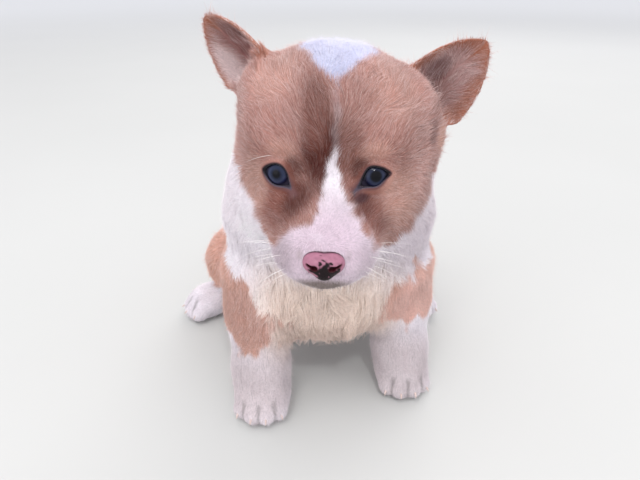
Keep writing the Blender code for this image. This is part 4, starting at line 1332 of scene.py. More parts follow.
@dataclass
class Lie:
    """Which way the hair lies at each place."""

    body: Physique
    draw: np.random.Generator
    sweep: float = 0.30

    def __post_init__(self) -> None:
        """Draws the sway of the coat."""
        self.sways = [Ripple(self.draw, 0.014) for _ in range(3)]

    def head_way(self, local: Array) -> Array:
        """The lie on the head in its own frame: away from the nose, and round the eyes."""
        nose = np.array((0.0, -0.0750, -0.0345))
        way = unit(local - nose)
        fan = np.exp(-(((local[:, 2] - 0.020) / 0.030) ** 2)) * np.sign(local[:, 0])
        way[:, 0] += 0.45 * fan * np.clip(np.abs(local[:, 0]) / 0.006, 0.0, 1.0)
        low_side = soft_step((np.abs(local[:, 0]) - 0.024) / 0.014)
        low_side *= soft_step((0.004 - local[:, 2]) / 0.016)
        way += low_side[:, None] * np.array((0.0, -0.10, -1.15))
        for eye in self.body.eyes.values():
            apart = local - np.array(eye.centre)
            near = np.exp(-((norms(apart) / 0.0125) ** 4))
            sight = np.array(eye.sight)
            way += unit(apart - sight * (apart @ sight)[:, None]) * near[:, None] * 1.6
        return way

    def body_way(self, points: Array) -> Array:
        """The lie on neck, trunk, legs and tail."""
        anchors = (
            ((0.0, -0.060, 0.140), (0.0, 0.75, -0.65), 0.035),
            ((0.0, -0.010, 0.110), (0.0, 0.72, -0.70), 0.040),
            ((0.0, 0.040, 0.060), (0.0, 0.35, -0.95), 0.035),
            ((0.045, -0.040, 0.090), (0.10, 0.55, -0.85), 0.040),
            ((0.058, -0.105, 0.115), (0.35, 0.10, -1.0), 0.030),
            ((0.0, -0.140, 0.090), (0.0, -0.12, -1.0), 0.045),
            ((0.045, -0.120, 0.060), (0.10, -0.15, -1.0), 0.030),
            ((0.070, -0.020, 0.055), (0.12, 0.50, -0.90), 0.045),
            ((0.0, -0.060, 0.035), (0.0, 0.6, -0.4), 0.035),
        )
        aside = np.sign(points[:, 0])
        mirrored = np.column_stack([np.abs(points[:, 0]), points[:, 1:]])
        total = np.tile((0.0, 0.02, -0.05), (len(points), 1))
        for place, way, reach in anchors:
            weight = np.exp(-((norms(mirrored - np.array(place)) / reach) ** 2))
            total += weight[:, None] * np.array(way)
        total[:, 0] *= aside
        bones = [(leg.points[k], leg.points[k + 1], leg.radii[k][0]) for leg in self.body.legs()
                 for k in range(1 if leg.thigh else 0, len(leg.points) - 1)]
        bones.append((self.body.tail_root, self.body.tail_tip, 0.012))
        for start, end, radius in bones:
            far = limb(start, end, 0.0, 0.0)(points)
            run = unit(np.array(end) - np.array(start))
            total += np.exp(-((far / (radius * 1.25)) ** 4))[:, None] * run * 1.3
        for leg in self.body.legs():
            for root, tip in leg.toes():
                far = norms(points - np.array(tip))
                way = np.array((tip - root).normalized()) * 0.5 + np.array((0.0, 0.0, -0.8))
                total += np.exp(-((far / 0.011) ** 2))[:, None] * way * 1.2
        return total

    def way(self, points: Array, normals: Array) -> Array:
        """Unit directions of the hair along the skin.

        Args:
            points: Points on the skin.
            normals: The skin's normals there.

        Returns:
            One direction for each point.
        """
        frame = self.body.head.frame
        local = into(frame, points)
        on_head = soft_step((local[:, 2] + 0.056) / 0.016)
        on_head *= soft_step((0.084 - norms(local)) / 0.02)
        head = unit(self.head_way(local)) @ np.array(frame.to_3x3()).T
        total = unit(self.body_way(points)) * (1.0 - on_head)[:, None] + head * on_head[:, None]
        on_ear, in_cup = self.body.ear_share(points)
        for ear in self.body.ears.values():
            turn = np.array(ear.frame.to_3x3())
            place = into(ear.frame, points)
            near = on_ear * (ear.form()(points) < 0.006)
            rise = turn[:, 2] + 0.5 * np.sign(place[:, 0])[:, None] * turn[:, 0] * in_cup[:, None]
            total = total * (1.0 - near)[:, None] + rise * near[:, None]
        sway = np.stack([ripple(points) for ripple in self.sways], axis=1) * self.sweep
        total = unit(total) + sway
        return unit(total - normals * (total * normals).sum(axis=1)[:, None])


# Skin


@dataclass
class Skin:
    """The one skin over all the flesh, with the lids round the eyes."""

    body: Physique
    markings: Markings
    head_cell: float = 0.00095
    body_cell: float = 0.0019
    seam: float = 0.100
    overlap: float = 0.0016
    eye_cell: float = 0.00034
    eye_reach: float = 0.0122
    wetness: float = 0.7

    def surface(self) -> Surface:
        """The skin: the lids finest, then the head, then the rest, each overlapping the next a little."""
        form = self.body.skin_form()
        head_low, head_high = (-0.078, -0.196, self.seam - 0.004), (0.094, 0.040, 0.234)
        body_low, body_high = (-0.124, -0.176, -0.006), (0.100, 0.094, self.seam + 0.010)
        head = Sampler(self.head_cell).skin(form, head_low, head_high)
        rest = Sampler(self.body_cell).skin(form, body_low, body_high)
        head = kept(head, head.points[:, 2] > self.seam - self.overlap)
        rest = self.tucked(rest, self.seam - rest.points[:, 2])
        lids = []
        for eye in self.body.eyes.values():
            centre = np.array(eye.frame.translation)
            corner = self.eye_reach + 0.002
            fine = Sampler(self.eye_cell).skin(form, centre - corner, centre + corner)
            far = norms(fine.points - centre)
            lids.append(kept(fine, (far < self.eye_reach) & (far > eye.radius - 0.0006)))
            far = norms(head.points - centre)
            head = self.tucked(head, far - self.eye_reach + self.overlap)
        return together([head, rest, *lids])

    def tucked(self, surface: Surface, outside: Array) -> Surface:
        """A surface cut off where a finer one takes over, its edge tucked just under that one.

        Args:
            surface: The coarser surface.
            outside: How far each point is outside the finer one's share.

        Returns:
            What is left of it.
        """
        under = soft_step(1.0 - (outside + self.overlap) / self.overlap) * 0.0003
        lowered = Surface(surface.points - surface.normals * under[:, None], surface.quads, surface.normals)
        return kept(lowered, outside > -self.overlap)

    def lid_colours(self, points: Array, colours: Array) -> Array:
        """The coat's colours with the bare dark skin of the lids painted over, and a painted highlight on the
        lower lid's wet rim.

        Args:
            points: Points on the skin.
            colours: The coat's colours there.

        Returns:
            The colours.
        """
        for eye in self.body.eyes.values():
            near = np.nonzero(eye.near(points))[0]
            local = into(eye.frame, points[near])
            edge = eye.beyond(points[near])
            deep = norms(local) - eye.radius
            upper = soft_step(0.5 + local[:, 1] / 0.004)
            wide = 0.0008 + 0.0014 * (1.0 - upper)
            shade = towards(colours[near], Shade.LID_BARE.light, soft_step(1.0 - (edge - 0.0003) / wide))
            shade = towards(shade, Shade.LID_DARK.light, soft_step(1.0 - (edge - 0.0001 * upper) / 0.0004))
            # A pale line along the lower lid's wet rim: a painted highlight.
            wet = soft_step(1.0 - np.abs(edge - 0.00015) / 0.00028) * (1.0 - upper) * (deep > 0.0001)
            colours[near] = towards(shade, Shade.LID_WET.light, wet * self.wetness)
        return colours

    def build(self) -> tuple[bpy.types.Object, Surface]:
        """Builds and dresses the skin.

        Returns:
            The skin and its surface, from which the coat grows.
        """
        surface = self.surface()
        surface.points[:, 2] = np.maximum(surface.points[:, 2], 0.0)
        skin = piece("skin", surface.points, [surface.quads])
        colours = self.markings.colour(surface.points) * 0.90
        colour_points(skin, self.lid_colours(surface.points, colours))
        unwrap(skin)
        SkinFinish("skin_and_underfur").made().put_on(skin)
        return skin, surface


def unwrap(obj: bpy.types.Object) -> None:
    """Lays a piece's own surface out flat, as a map for its colours."""
    obj.data.uv_layers.new(name=BAKE_MAP)
    bpy.ops.object.select_all(action="DESELECT")
    bpy.context.view_layer.objects.active = obj
    obj.select_set(True)
    bpy.ops.object.mode_set(mode="EDIT")
    bpy.ops.mesh.select_all(action="SELECT")
    bpy.ops.uv.smart_project(angle_limit=math.radians(72.0), island_margin=0.002)
    bpy.ops.object.mode_set(mode="OBJECT")
    obj.select_set(False)


# Coat


@dataclass(frozen=True)
class Roots:
    """Where tufts grow: place, normal, lie, map place, colour and the coat's sizes there."""

    points: Array
    normals: Array
    ways: Array
    maps: Array
    colours: Array
    tips: Array
    depths: Array
    lengths: Array
    rises: Array
    widths: Array
    clumps: Array
    softness: Array

    def some(self, chosen: Array) -> "Roots":
        """Only the chosen roots."""
        return Roots(*(getattr(self, name)[chosen] for name in self.__dataclass_fields__))


@dataclass
class Coat:
    """The fur: closed slivers of hair over the whole skin, in pieces of a manageable size."""

    body: Physique
    markings: Markings
    lie: Lie
    draw: np.random.Generator
    thickness: float = 0.42
    root_sink: float = 0.0003
    patch: float = 0.003
    length_range: Pair = (0.72, 1.20)
    rise_range: Pair = (0.45, 1.0)
    width_range: Pair = (0.75, 1.2)
    sway: float = 0.13
    light_share: float = 0.30
    stray_share: float = 0.10
    stray_length: float = 1.32
    stray_width: float = 0.5
    stray_rises: Pair = (1.6, 3.0)
    cup_rise: float = 0.0010
    piece_limit: int = 190000
    smoothing: float = 0.76
    ear_smoothing: float = 0.25
    clump_every: int = 60

    def scattered(self, skin: bpy.types.Object, surface: Surface) -> tuple[Array, Array, Array]:
        """Scatters roots evenly over the skin.

        Args:
            skin: The skin, for its map.
            surface: Its surface.

        Returns:
            Where the roots are, the skin's normals there and their places on its map.
        """
        quads = surface.quads
        corners = surface.points[quads]
        across = np.cross(corners[:, 2] - corners[:, 0], corners[:, 3] - corners[:, 1])
        area = norms(across) / 2.0
        coat, _ = self.coat_at(corners.mean(axis=1))
        number = np.floor(area * coat[:, 3] + self.draw.random(len(area))).astype(int)
        chosen = np.repeat(np.arange(len(quads)), number)
        one, two = self.draw.random((2, len(chosen), 1))
        shares = np.stack([(1 - one) * (1 - two), one * (1 - two), one * two, (1 - one) * two], axis=1)
        flat = np.zeros(len(skin.data.loops) * 2, np.float32)
        skin.data.uv_layers[BAKE_MAP].data.foreach_get("uv", flat)
        maps = flat.reshape(-1, 2)[: len(quads) * 4].reshape(-1, 4, 2)
        points = (corners[chosen] * shares).sum(axis=1)
        normals = unit((surface.normals[quads][chosen] * shares).sum(axis=1))
        places = (maps[chosen] * shares).sum(axis=1)
        keep = self.haired(points)
        return points[keep], normals[keep], places[keep]

    def edging(self, points: Array, stray: Array, lengths: Array, rises: Array) -> Array:
        """Shortens the hair near the ears' rims, and finds the pale hairs on the rims.

        Args:
            points: The roots.
            stray: Which hairs stray.
            lengths: Their lengths, which change.
            rises: Their rises, which change.

        Returns:
            How far each hair belongs to a rim, 0 to 1.
        """
        edging = np.zeros(len(points))
        for ear in self.body.ears.values():
            near = np.nonzero((ear.form()(points) < 0.004) & (into(ear.frame, points)[:, 2] > 0.004))[0]
            room = ear.room(points[near])
            share = 0.36 + 0.64 * soft_step((room - 0.0005) / 0.008)
            share = np.where(stray[near], np.maximum(share, 0.9), share)
            lengths[near] *= share
            rises[near] *= share
            some = self.draw.random(len(near)) < 0.55
            edging[near] = soft_step(1.0 - (room - 0.0006) / 0.0026) * some
        return edging

    def tints(self, points: Array, shown: Array, stray: Array, edging: Array) -> tuple[Array, Array]:
        """The colours of the hairs: a little change from hair to hair, paler tips, and painted shade at the
        roots.

        Args:
            points: The roots.
            shown: Where each hair is seen, whose marking it takes.
            stray: Which hairs stray.
            edging: How far each belongs to an ear's rim.

        Returns:
            The colours at the roots and at the tips.
        """
        count = len(points)
        colours = self.markings.colour(shown)
        white = soft_step((colours[:, 1:2] - 0.30) / 0.30)
        change = self.draw.normal(size=(count, 1)).clip(-2.0, 2.0)
        colours = colours * (1.0 + (0.11 - 0.07 * white) * change)
        light = self.draw.random((count, 1)) < self.light_share
        fade = self.draw.uniform(0.0, 0.10, (count, 1)) + 0.34 * light + 0.40 * stray[:, None]
        local = into(self.body.head.frame, points)
        aside, height = np.abs(local[:, 0]), local[:, 2]
        halo = np.maximum(soft_step((aside - 0.034) / 0.014), soft_step((height - 0.034) / 0.014))
        fade = fade + (0.34 * halo * (height > -0.036) * self.draw.random(count))[:, None]
        fade = fade * (1.0 - 0.5 * white) * (colours[:, :1] / Shade.RED.light[0]).clip(0.15, 1.0)
        on_ear, _ = self.body.ear_share(points)
        fringe = np.maximum(edging, stray * soft_step(on_ear * 2.0 - 0.5))[:, None]
        pale = Shade.PALE_TIP.light - colours
        # The factor 1.04 on the tips and the darker roots are painted light and shade along each tuft; the pale
        # mix is the hair's own paler tips.
        tips = colours * 1.04 + pale * np.maximum(np.minimum(fade, 0.85), 0.9 * fringe)
        return colours * (0.80 + 0.11 * white) + pale * 0.6 * fringe, tips

    def roots(self, skin: bpy.types.Object, surface: Surface) -> Roots:
        """Where tufts grow, and the size, lie and colour of each.

        Args:
            skin: The skin, for its map.
            surface: Its surface.

        Returns:
            The roots.
        """
        points, normals, places = self.scattered(skin, surface)
        coat, in_cup = self.coat_at(points)
        count = len(points)
        stray = self.draw.random(count) < self.stray_share
        short = self.near_eyes(points)
        lengths = coat[:, 1] * self.draw.uniform(*self.length_range, count)
        lengths = lengths * np.where(stray, self.stray_length, 1.0) * short
        lifted = np.where(stray, self.draw.uniform(*self.stray_rises, count), 1.0)
        rises = coat[:, 0] * self.draw.uniform(*self.rise_range, count) * lifted * short
        rises = rises + in_cup * self.cup_rise
        widths = coat[:, 2] * self.draw.uniform(*self.width_range, count) * (0.5 + 0.5 * short)
        widths = widths * np.where(stray, self.stray_width, 1.0)
        edging = self.edging(points, stray, lengths, rises)
        ways = self.lie.way(points, normals)
        on_ear, _ = self.body.ear_share(points)
        shown = points + ways * (lengths * 0.55 * (1.0 - on_ear))[:, None]
        colours, tips = self.tints(points, shown, stray, edging)
        soft = self.smoothing + (self.ear_smoothing - self.smoothing) * on_ear
        aside = np.cross(ways, normals)
        ways = unit(ways + aside * self.draw.normal(0.0, self.sway, (count, 1)))
        depths, clumps = coat[:, 0], coat[:, 4]
        return Roots(points, normals, ways, places, colours, tips, depths, lengths, rises, widths, clumps, soft)

    def coat_at(self, points: Array) -> tuple[Array, Array]:
        """The coat's sizes at points, with the ears' own.

        Args:
            points: Points on the skin.

        Returns:
            Depth, length, width, density and clumping, and how far each point is in an ear's cup.
        """
        coat = self.body.coat_share(points)
        on_ear, in_cup = self.body.ear_share(points)
        ear = np.array((EAR_COAT.depth, EAR_COAT.length, EAR_COAT.width, EAR_COAT.density, 0.0))
        ear = ear * np.array((MM, MM, MM, 1e6, 1.0))
        coat = coat + (ear - coat) * on_ear[:, None]
        coat[:, 1] *= 1.0 + 0.7 * in_cup
        coat[:, 3] *= 1.0 - 0.55 * in_cup
        return coat, in_cup

    def haired(self, points: Array) -> Array:
        """Which points may carry hair: not the lids, the nose, the mouth's crease or the floor."""
        local = into(self.body.head.frame, points)
        nose = ellipsoid((0.0002, -0.0750, -0.0336), (0.0098, 0.0090, 0.0067))(local)
        keep = (nose > 0.0) & (points[:, 2] > 0.0012)
        flesh = self.body.flesh(points)
        on_ear, _ = self.body.ear_share(points)
        sunk = (flesh < -0.00025) & (on_ear < 0.1)
        for eye in self.body.eyes.values():
            near = np.nonzero(eye.near(points))[0]
            upper = soft_step(0.5 + into(eye.frame, points[near])[:, 1] / 0.004)
            apart = eye.beyond(points[near])
            keep[near] &= apart > 0.0013 - 0.0008 * upper
            sunk[near] &= apart > 0.0060
        keep &= ~sunk
        return keep

    def near_eyes(self, points: Array) -> Array:
        """How much shorter the hair is close to the eyes."""
        share = np.ones(len(points))
        for eye in self.body.eyes.values():
            near = np.nonzero(eye.near(points))[0]
            short = 0.34 + 0.66 * soft_step((eye.beyond(points[near]) - 0.001) / 0.006)
            share[near] = np.minimum(share[near], short)
        return share

    def spines(self, roots: Roots, steps: int) -> Array:
        """The middle line of each tuft, rising from the skin along the lie.

        Args:
            roots: Where they grow.
            steps: How many lengths each is bent into.

        Returns:
            For each tuft, one point more than steps.
        """
        coat = self.body.coat_form()
        ears = [ear.form() for ear in self.body.ears.values()]
        here = roots.points
        line = [here - roots.normals * self.root_sink]
        for step in range(1, steps + 1):
            share = step / steps
            here = here + roots.ways * (roots.lengths / steps)[:, None]
            height = np.minimum.reduce([coat(here) + roots.depths, *(ear(here) for ear in ears)])
            wanted = roots.rises * share**0.75
            lowest = -0.004 * (1.0 - np.clip(1.6 * roots.clumps, 0.0, 0.9))
            here = here + roots.normals * np.clip(wanted - height, lowest, 0.004)[:, None]
            line.append(here)
        spine = np.stack(line, axis=1)
        self.gather(spine, roots)
        spine[:, :, 2] = np.maximum(spine[:, :, 2], 0.0005)
        return spine

    def gather(self, spine: Array, roots: Roots) -> None:
        """Draws the tips of long hair together into locks."""
        long = np.nonzero(roots.clumps > 0.05)[0]
        if len(long) < self.clump_every:
            return
        leaders = self.draw.choice(long, len(long) // self.clump_every, replace=False)
        gap = np.full(len(long), np.inf)
        nearest = np.zeros(len(long), int)
        for leader in leaders:
            far = ((roots.points[long] - roots.points[leader]) ** 2).sum(axis=1)
            closer = far < gap
            gap[closer] = far[closer]
            nearest[closer] = leader
        steps = spine.shape[1] - 1
        for step in range(1, steps + 1):
            pull = (roots.clumps[long] * (step / steps) ** 1.4 * (gap < 0.008**2))[:, None]
            spine[long, step] += (spine[nearest, step] - spine[long, step]) * pull

    def grown(self, name: str, roots: Roots, steps: int) -> bpy.types.Object:
        """Makes one piece of fur.

        Args:
            name: The piece's name.
            roots: Where its tufts grow.
            steps: How many lengths each tuft is bent into.

        Returns:
            The piece.
        """
        spine = self.spines(roots, steps)
        run = unit(np.gradient(spine, axis=1))
        out = roots.normals[:, None, :]
        side = unit(np.cross(run, np.broadcast_to(out, run.shape)))
        out = np.cross(side, run)
        swell = np.interp(np.arange(steps) / steps, (0.0, 0.3, 0.7, 1.0), (1.0, 0.95, 0.70, 0.1))
        half = (roots.widths[:, None] * swell)[:, :, None] / 2.0
        left = spine[:, :-1] - side[:, :-1] * half
        right = spine[:, :-1] + side[:, :-1] * half
        ridge = spine[:, :-1] + out[:, :-1] * half * self.thickness * 2.0
        rings = np.stack([left, right, ridge], axis=2).reshape(len(spine), -1, 3)
        points = np.concatenate([rings, spine[:, -1:]], axis=1)
        each = points.shape[1]
        quads, triangles = [], [(0, 1, 2)]
        for step in range(steps - 1):
            for k in range(3):
                a, b = 3 * step + k, 3 * step + (k + 1) % 3
                quads.append((a, a + 3, b + 3, b))
        last = 3 * (steps - 1)
        for k in range(3):
            triangles.append((last + k, each - 1, last + (k + 1) % 3))
        start = (np.arange(len(spine)) * each)[:, None, None]
        groups = [group for group in (quads, triangles) if group]
        faces = [(np.array(group)[None] + start).reshape(-1, len(group[0])) for group in groups]
        fur = piece(name, points.reshape(-1, 3), faces)
        self.soften(fur, points.reshape(-1, 3), faces, roots, each)
        share = np.arange(steps + 1) / steps
        share = np.concatenate([np.repeat(share[:-1], 3), share[-1:]])[None, :, None]
        shades = roots.colours[:, None, :] * (1.0 - share) + roots.tips[:, None, :] * share
        colour_points(fur, shades.reshape(-1, 3).clip(0.0, 1.0))
        along = np.concatenate([np.repeat(np.arange(steps) / steps, 3), [1.0]]) - 0.5
        aside = np.concatenate([np.tile((-0.5, 0.5, 0.0), steps), [0.0]])
        spread = np.stack([aside, along], axis=1) * self.patch
        maps = (roots.maps[:, None, :] + spread[None]).reshape(-1, 2).clip(0.0, 1.0)
        order = np.concatenate([group.ravel() for group in faces])
        layer = fur.data.uv_layers.new(name=BAKE_MAP)
        layer.data.foreach_set("uv", maps[order].astype(np.float32).ravel())
        return fur

    def soften(
        self, fur: bpy.types.Object, points: Array, faces: Sequence[Array], roots: Roots, each: int
    ) -> None:
        """Turns the normals of outward faces towards the skin's, so that the coat takes the light softly.

        Args:
            fur: The piece.
            points: Its points.
            faces: Its quads and triangles.
            roots: Where its tufts grow.
            each: How many points a tuft has.
        """
        facing = []
        for group in faces:
            corners = points[group]
            flat = unit(np.cross(corners[:, 1] - corners[:, 0], corners[:, -1] - corners[:, 0]))
            tuft = group[:, 0] // each
            skin_way = roots.normals[tuft]
            blend = roots.softness[tuft] * soft_step((flat * skin_way).sum(axis=1) / 0.3)
            normal = unit(flat + (skin_way - flat) * blend[:, None])
            facing.append(np.repeat(normal, group.shape[1], axis=0))
        fur.data.normals_split_custom_set(np.concatenate(facing))

    def build(self, skin: bpy.types.Object, surface: Surface) -> list[bpy.types.Object]:
        """Grows the whole coat.

        Args:
            skin: The skin.
            surface: Its surface.

        Returns:
            The pieces of fur.
        """
        roots = self.roots(skin, surface)
        finish = HairFinish("fur").made()
        pieces = []
        for name, chosen, steps in self.regions(roots):
            triangles = 4 + 6 * (steps - 1)
            parts = math.ceil(len(chosen) * triangles / self.piece_limit)
            for number, share in enumerate(np.array_split(chosen, parts)):
                label = name if parts == 1 else f"{name}_{number + 1}"
                fur = self.grown(f"fur_{label}", roots.some(share), steps)
                finish.put_on(fur)
                pieces.append(fur)
        return pieces

    def regions(self, roots: Roots) -> list[tuple[str, Array, int]]:
        """Parts the roots by the part of the body that they grow on.

        Args:
            roots: All the roots.

        Returns:
            For each part its name, its roots and how often its tufts bend.
        """
        local = into(self.body.head.frame, roots.points)
        on_ear, _ = self.body.ear_share(roots.points)
        x, y, z = roots.points.T
        tests = (
            ("ears", on_ear > 0.12, 1),
            ("muzzle", (local[:, 1] < -0.050) & (local[:, 2] > -0.056), 1),
            ("face", (local[:, 1] < -0.024) & (local[:, 2] > -0.034) & (local[:, 2] < 0.012), 1),
            ("crown", (local[:, 2] > 0.002), 1),
            ("cheeks", (local[:, 2] > -0.052), 1),
            ("bib", (y < -0.098) & (z > 0.045) & (np.abs(x) < 0.036), 2),
            ("tail", (y > 0.048) & (z < 0.056) & (np.abs(x) < 0.020), 2),
            ("forelegs", (y < -0.082) & (z < 0.080), 1),
            ("neck", (y < -0.050) & (z > 0.085), 1),
            ("hind_feet", (z < 0.024) & (y < -0.010), 1),
            ("back", z > 0.070, 1),
            ("haunches", z > -1.0, 1),
        )
        free = np.ones(len(x), bool)
        parts = []
        for name, test, steps in tests:
            chosen = np.nonzero(free & test)[0]
            free[chosen] = False
            if len(chosen):
                parts.append((name, chosen, steps))
        return parts


# Eyes, nose, whiskers and claws


@dataclass
class Eye:
    """An eyeball with a raised cornea; its iris is turned the way the puppy looks."""

    place: EyePlace
    gaze: Triple
    rings: int = 72
    segments: int = 96
    bulge: float = 0.030
    iris_edge: float = 0.60
    pupil: float = 0.17
    # How light the eye is painted; below 1 it is painted shade.
    light: float = 1.0

    def build(self) -> bpy.types.Object:
        """Builds and dresses the eye."""
        frame = frame_along(self.place.frame.translation, self.gaze, (0.0, 0.0, 1.0))
        tilt = np.linspace(0.0, math.pi, self.rings + 1)[1:-1]
        slope, around = [grid.ravel() for grid in np.meshgrid(tilt, turns(self.segments), indexing="ij")]
        slope = np.concatenate([slope, [0.0, math.pi]])
        around = np.concatenate([around, [0.0, 0.0]])
        swell = 1.0 + self.bulge * soft_step(1.0 - np.sin(slope) / self.iris_edge) * (slope < math.pi / 2.0)
        radius = (self.place.radius - 0.0001) * swell
        ways = [np.sin(slope) * np.cos(around), np.sin(slope) * np.sin(around), np.cos(slope)]
        points = out_of(frame, np.stack(ways, axis=1) * radius[:, None])
        quads, caps = self.faces(len(tilt))
        eye = piece(f"eyeball_{self.place.side.word}", points, [quads, caps])
        wide = np.where(slope < math.pi / 2.0, np.sin(slope), 1.0)
        mark_places(eye, np.stack([wide, np.cos(around), np.sin(around)], axis=1))
        # The top of the eyeball under the upper lid is darkened: painted shadow of the lid.
        upper = soft_step(0.5 + into(self.place.frame, points)[:, 1] / 0.003)
        lid_shade = 1.0 - 0.66 * upper * soft_step(1.0 + (self.place.beyond(points) - 0.0004) / 0.0024)
        colour_points(eye, np.repeat((lid_shade * self.light)[:, None], 3, axis=1))
        unwrap(eye)
        self.finish().put_on(eye)
        return eye

    def faces(self, rows: int) -> tuple[Array, Array]:
        """The ball's quads, and the triangles at its two ends.

        Args:
            rows: How many rings of points there are.

        Returns:
            Quads and triangles.
        """
        here = np.arange(self.segments)
        ahead = (here + 1) % self.segments
        quads = wall(rows, self.segments)[:, (0, 3, 2, 1)]
        front, back = rows * self.segments, rows * self.segments + 1
        last = (rows - 1) * self.segments
        near = np.stack([np.full(self.segments, front), here, ahead], axis=1)
        far = np.stack([np.full(self.segments, back), last + ahead, last + here], axis=1)
        return quads, np.concatenate([near, far])

    def finish(self) -> Finish:
        """A wet, blue-grey puppy's eye."""
        finish = Finish(f"eye_{self.place.side.word}", 0.3, Coat_Weight=0.30, Coat_Roughness=0.02,
                        Specular_IOR_Level=0.04)
        place = finish.stored(PLACE, "Vector")
        wide = finish.add("ShaderNodeSeparateXYZ", {}, {0: place}, "X")
        threads = finish.noise(9.0, 4.0, place)
        shifted = wide + 0.035 * (threads - 0.5)
        stops = (
            (0.00, paint(1, 1, 8)), (self.pupil, paint(4, 4, 14)), (self.pupil + 0.06, paint(20, 24, 42)),
            (0.34, paint(36, 44, 68)), (0.44, paint(48, 54, 80)), (0.51, paint(30, 34, 62)),
            (0.58, paint(14, 14, 32)), (0.64, paint(40, 38, 54)), (0.76, paint(62, 58, 74)),
            (1.00, paint(58, 52, 66)),
        )
        iris = finish.ramp(shifted, *stops)
        finish.colour(finish.mix(1.0, iris, finish.stored(HAIR_COLOUR, "Color"), "MULTIPLY"))
        return finish


@dataclass
class Nose:
    """The nose leather: a heart-shaped pad with two nostrils, pink with a dark patch."""

    head: HeadPlace
    skin: Form
    draw: np.random.Generator
    centre: Triple = (0.0002, -0.0730, -0.0333)
    cell: float = 0.00042
    reach: float = 0.0135
    blots: Sequence[Triple] = (
        (-0.9, 2.6, 1.4), (1.7, 2.3, 1.1), (0.2, 0.4, 2.5), (3.6, 0.2, 2.0), (5.8, -0.6, 1.8),
        (0.9, -2.9, 3.1), (3.4, -2.6, 2.6), (-3.0, -1.2, 2.0), (-5.0, 0.6, 1.2))

    def nostrils(self) -> Form:
        """The two nostrils and their slits, in the head's frame."""
        middle = Vector(self.centre)
        holes = []
        for side in Side:
            sign = side.value
            hole = middle + Vector((sign * 0.0038, -0.0078, 0.0006))
            slit = middle + Vector((sign * 0.0060, -0.0068, 0.0016))
            long = 0.0024 if side is Side.LEFT else 0.0014
            holes.append(ellipsoid(hole, (0.0013, 0.0028, 0.0012), (0.0, -sign * 20.0, 0.0)))
            holes.append(ellipsoid(slit, (long, 0.0022, 0.0004), (0.0, -sign * 18.0, 0.0)))
        return blended(holes, 0.001)

    def form(self) -> Form:
        """The pad, in the head's frame."""
        middle = Vector(self.centre)
        pads = [
            ellipsoid(middle, (0.0080, 0.0068, 0.0054)),
            ellipsoid(middle + Vector((0.0004, -0.0030, -0.0034)), (0.0042, 0.0045, 0.0033)),
        ]
        for side in Side:
            lobe = middle + Vector((side.value * 0.0044, -0.0022, 0.0010))
            pads.append(ellipsoid(lobe, (0.0048, 0.0052, 0.0042)))
        return hollowed(blended(pads, 0.0025), self.nostrils(), 0.0008)

    def colours(self, local: Array) -> Array:
        """The leather's colours at points of the head's frame."""
        at = local - np.array(self.centre)
        waver = Ripple(self.draw, 0.0022)(local)
        cloud = Ripple(self.draw, 0.002)(local)
        colour = np.tile(Shade.NOSE_PINK.light, (len(local), 1)) * (1.0 + 0.05 * cloud)[:, None]
        face = np.column_stack([at[:, 0], np.zeros(len(at)), at[:, 2]])
        low = np.full(len(at), np.inf)
        for across, up, size in self.blots:
            spot = np.array((across, 0.0, up)) * MM
            low = np.minimum(low, norms(face - spot) - size * MM)
        low = np.maximum(low, at[:, 1] + 0.002) + 0.0005 * waver
        under = at[:, 2] + 0.0040 + 0.0008 * waver
        rim = self.skin(out_of(self.head.frame, local)) - 0.0014
        marks = (
            (under, Shade.NOSE_PATCH, 0.0016),
            (rim, Shade.NOSE_EDGE, 0.0010),
            (low, Shade.NOSE_PATCH, 0.0008),
        )
        for measure, shade, soft in marks:
            colour = towards(colour, shade.light, soft_step(0.5 - measure / soft))
        # Painted shade deep in the nostrils.
        deep = soft_step(0.5 - (self.nostrils()(local) - 0.0003) / 0.0007)
        return towards(colour, Shade.NOSTRIL.light, deep)

    def build(self) -> bpy.types.Object:
        """Builds and dresses the nose."""
        low = [value - self.reach for value in self.centre]
        high = [value + self.reach for value in self.centre]
        surface = Sampler(self.cell).skin(self.form(), low, high)
        nose = piece("nose_leather", out_of(self.head.frame, surface.points), [surface.quads])
        colour_points(nose, self.colours(surface.points))
        unwrap(nose)
        finish = Finish("nose_leather", 0.38, Coat_Weight=0.12, Coat_Roughness=0.25, Specular_IOR_Level=0.12)
        cells = finish.add("ShaderNodeTexVoronoi", {"feature": "DISTANCE_TO_EDGE"},
                           {"Vector": finish.add("ShaderNodeTexCoord", {}, {}, "Object"), "Scale": 1900.0})
        cloud = finish.noise(700.0, 3.0)
        finish.dimmed(0.88 + 0.24 * cloud)
        finish.rough(0.30 + 0.25 * cloud)
        finish.bump(finish.step(cells, 0.0, 0.25), 0.00012, 0.6)
        finish.put_on(nose)
        return nose


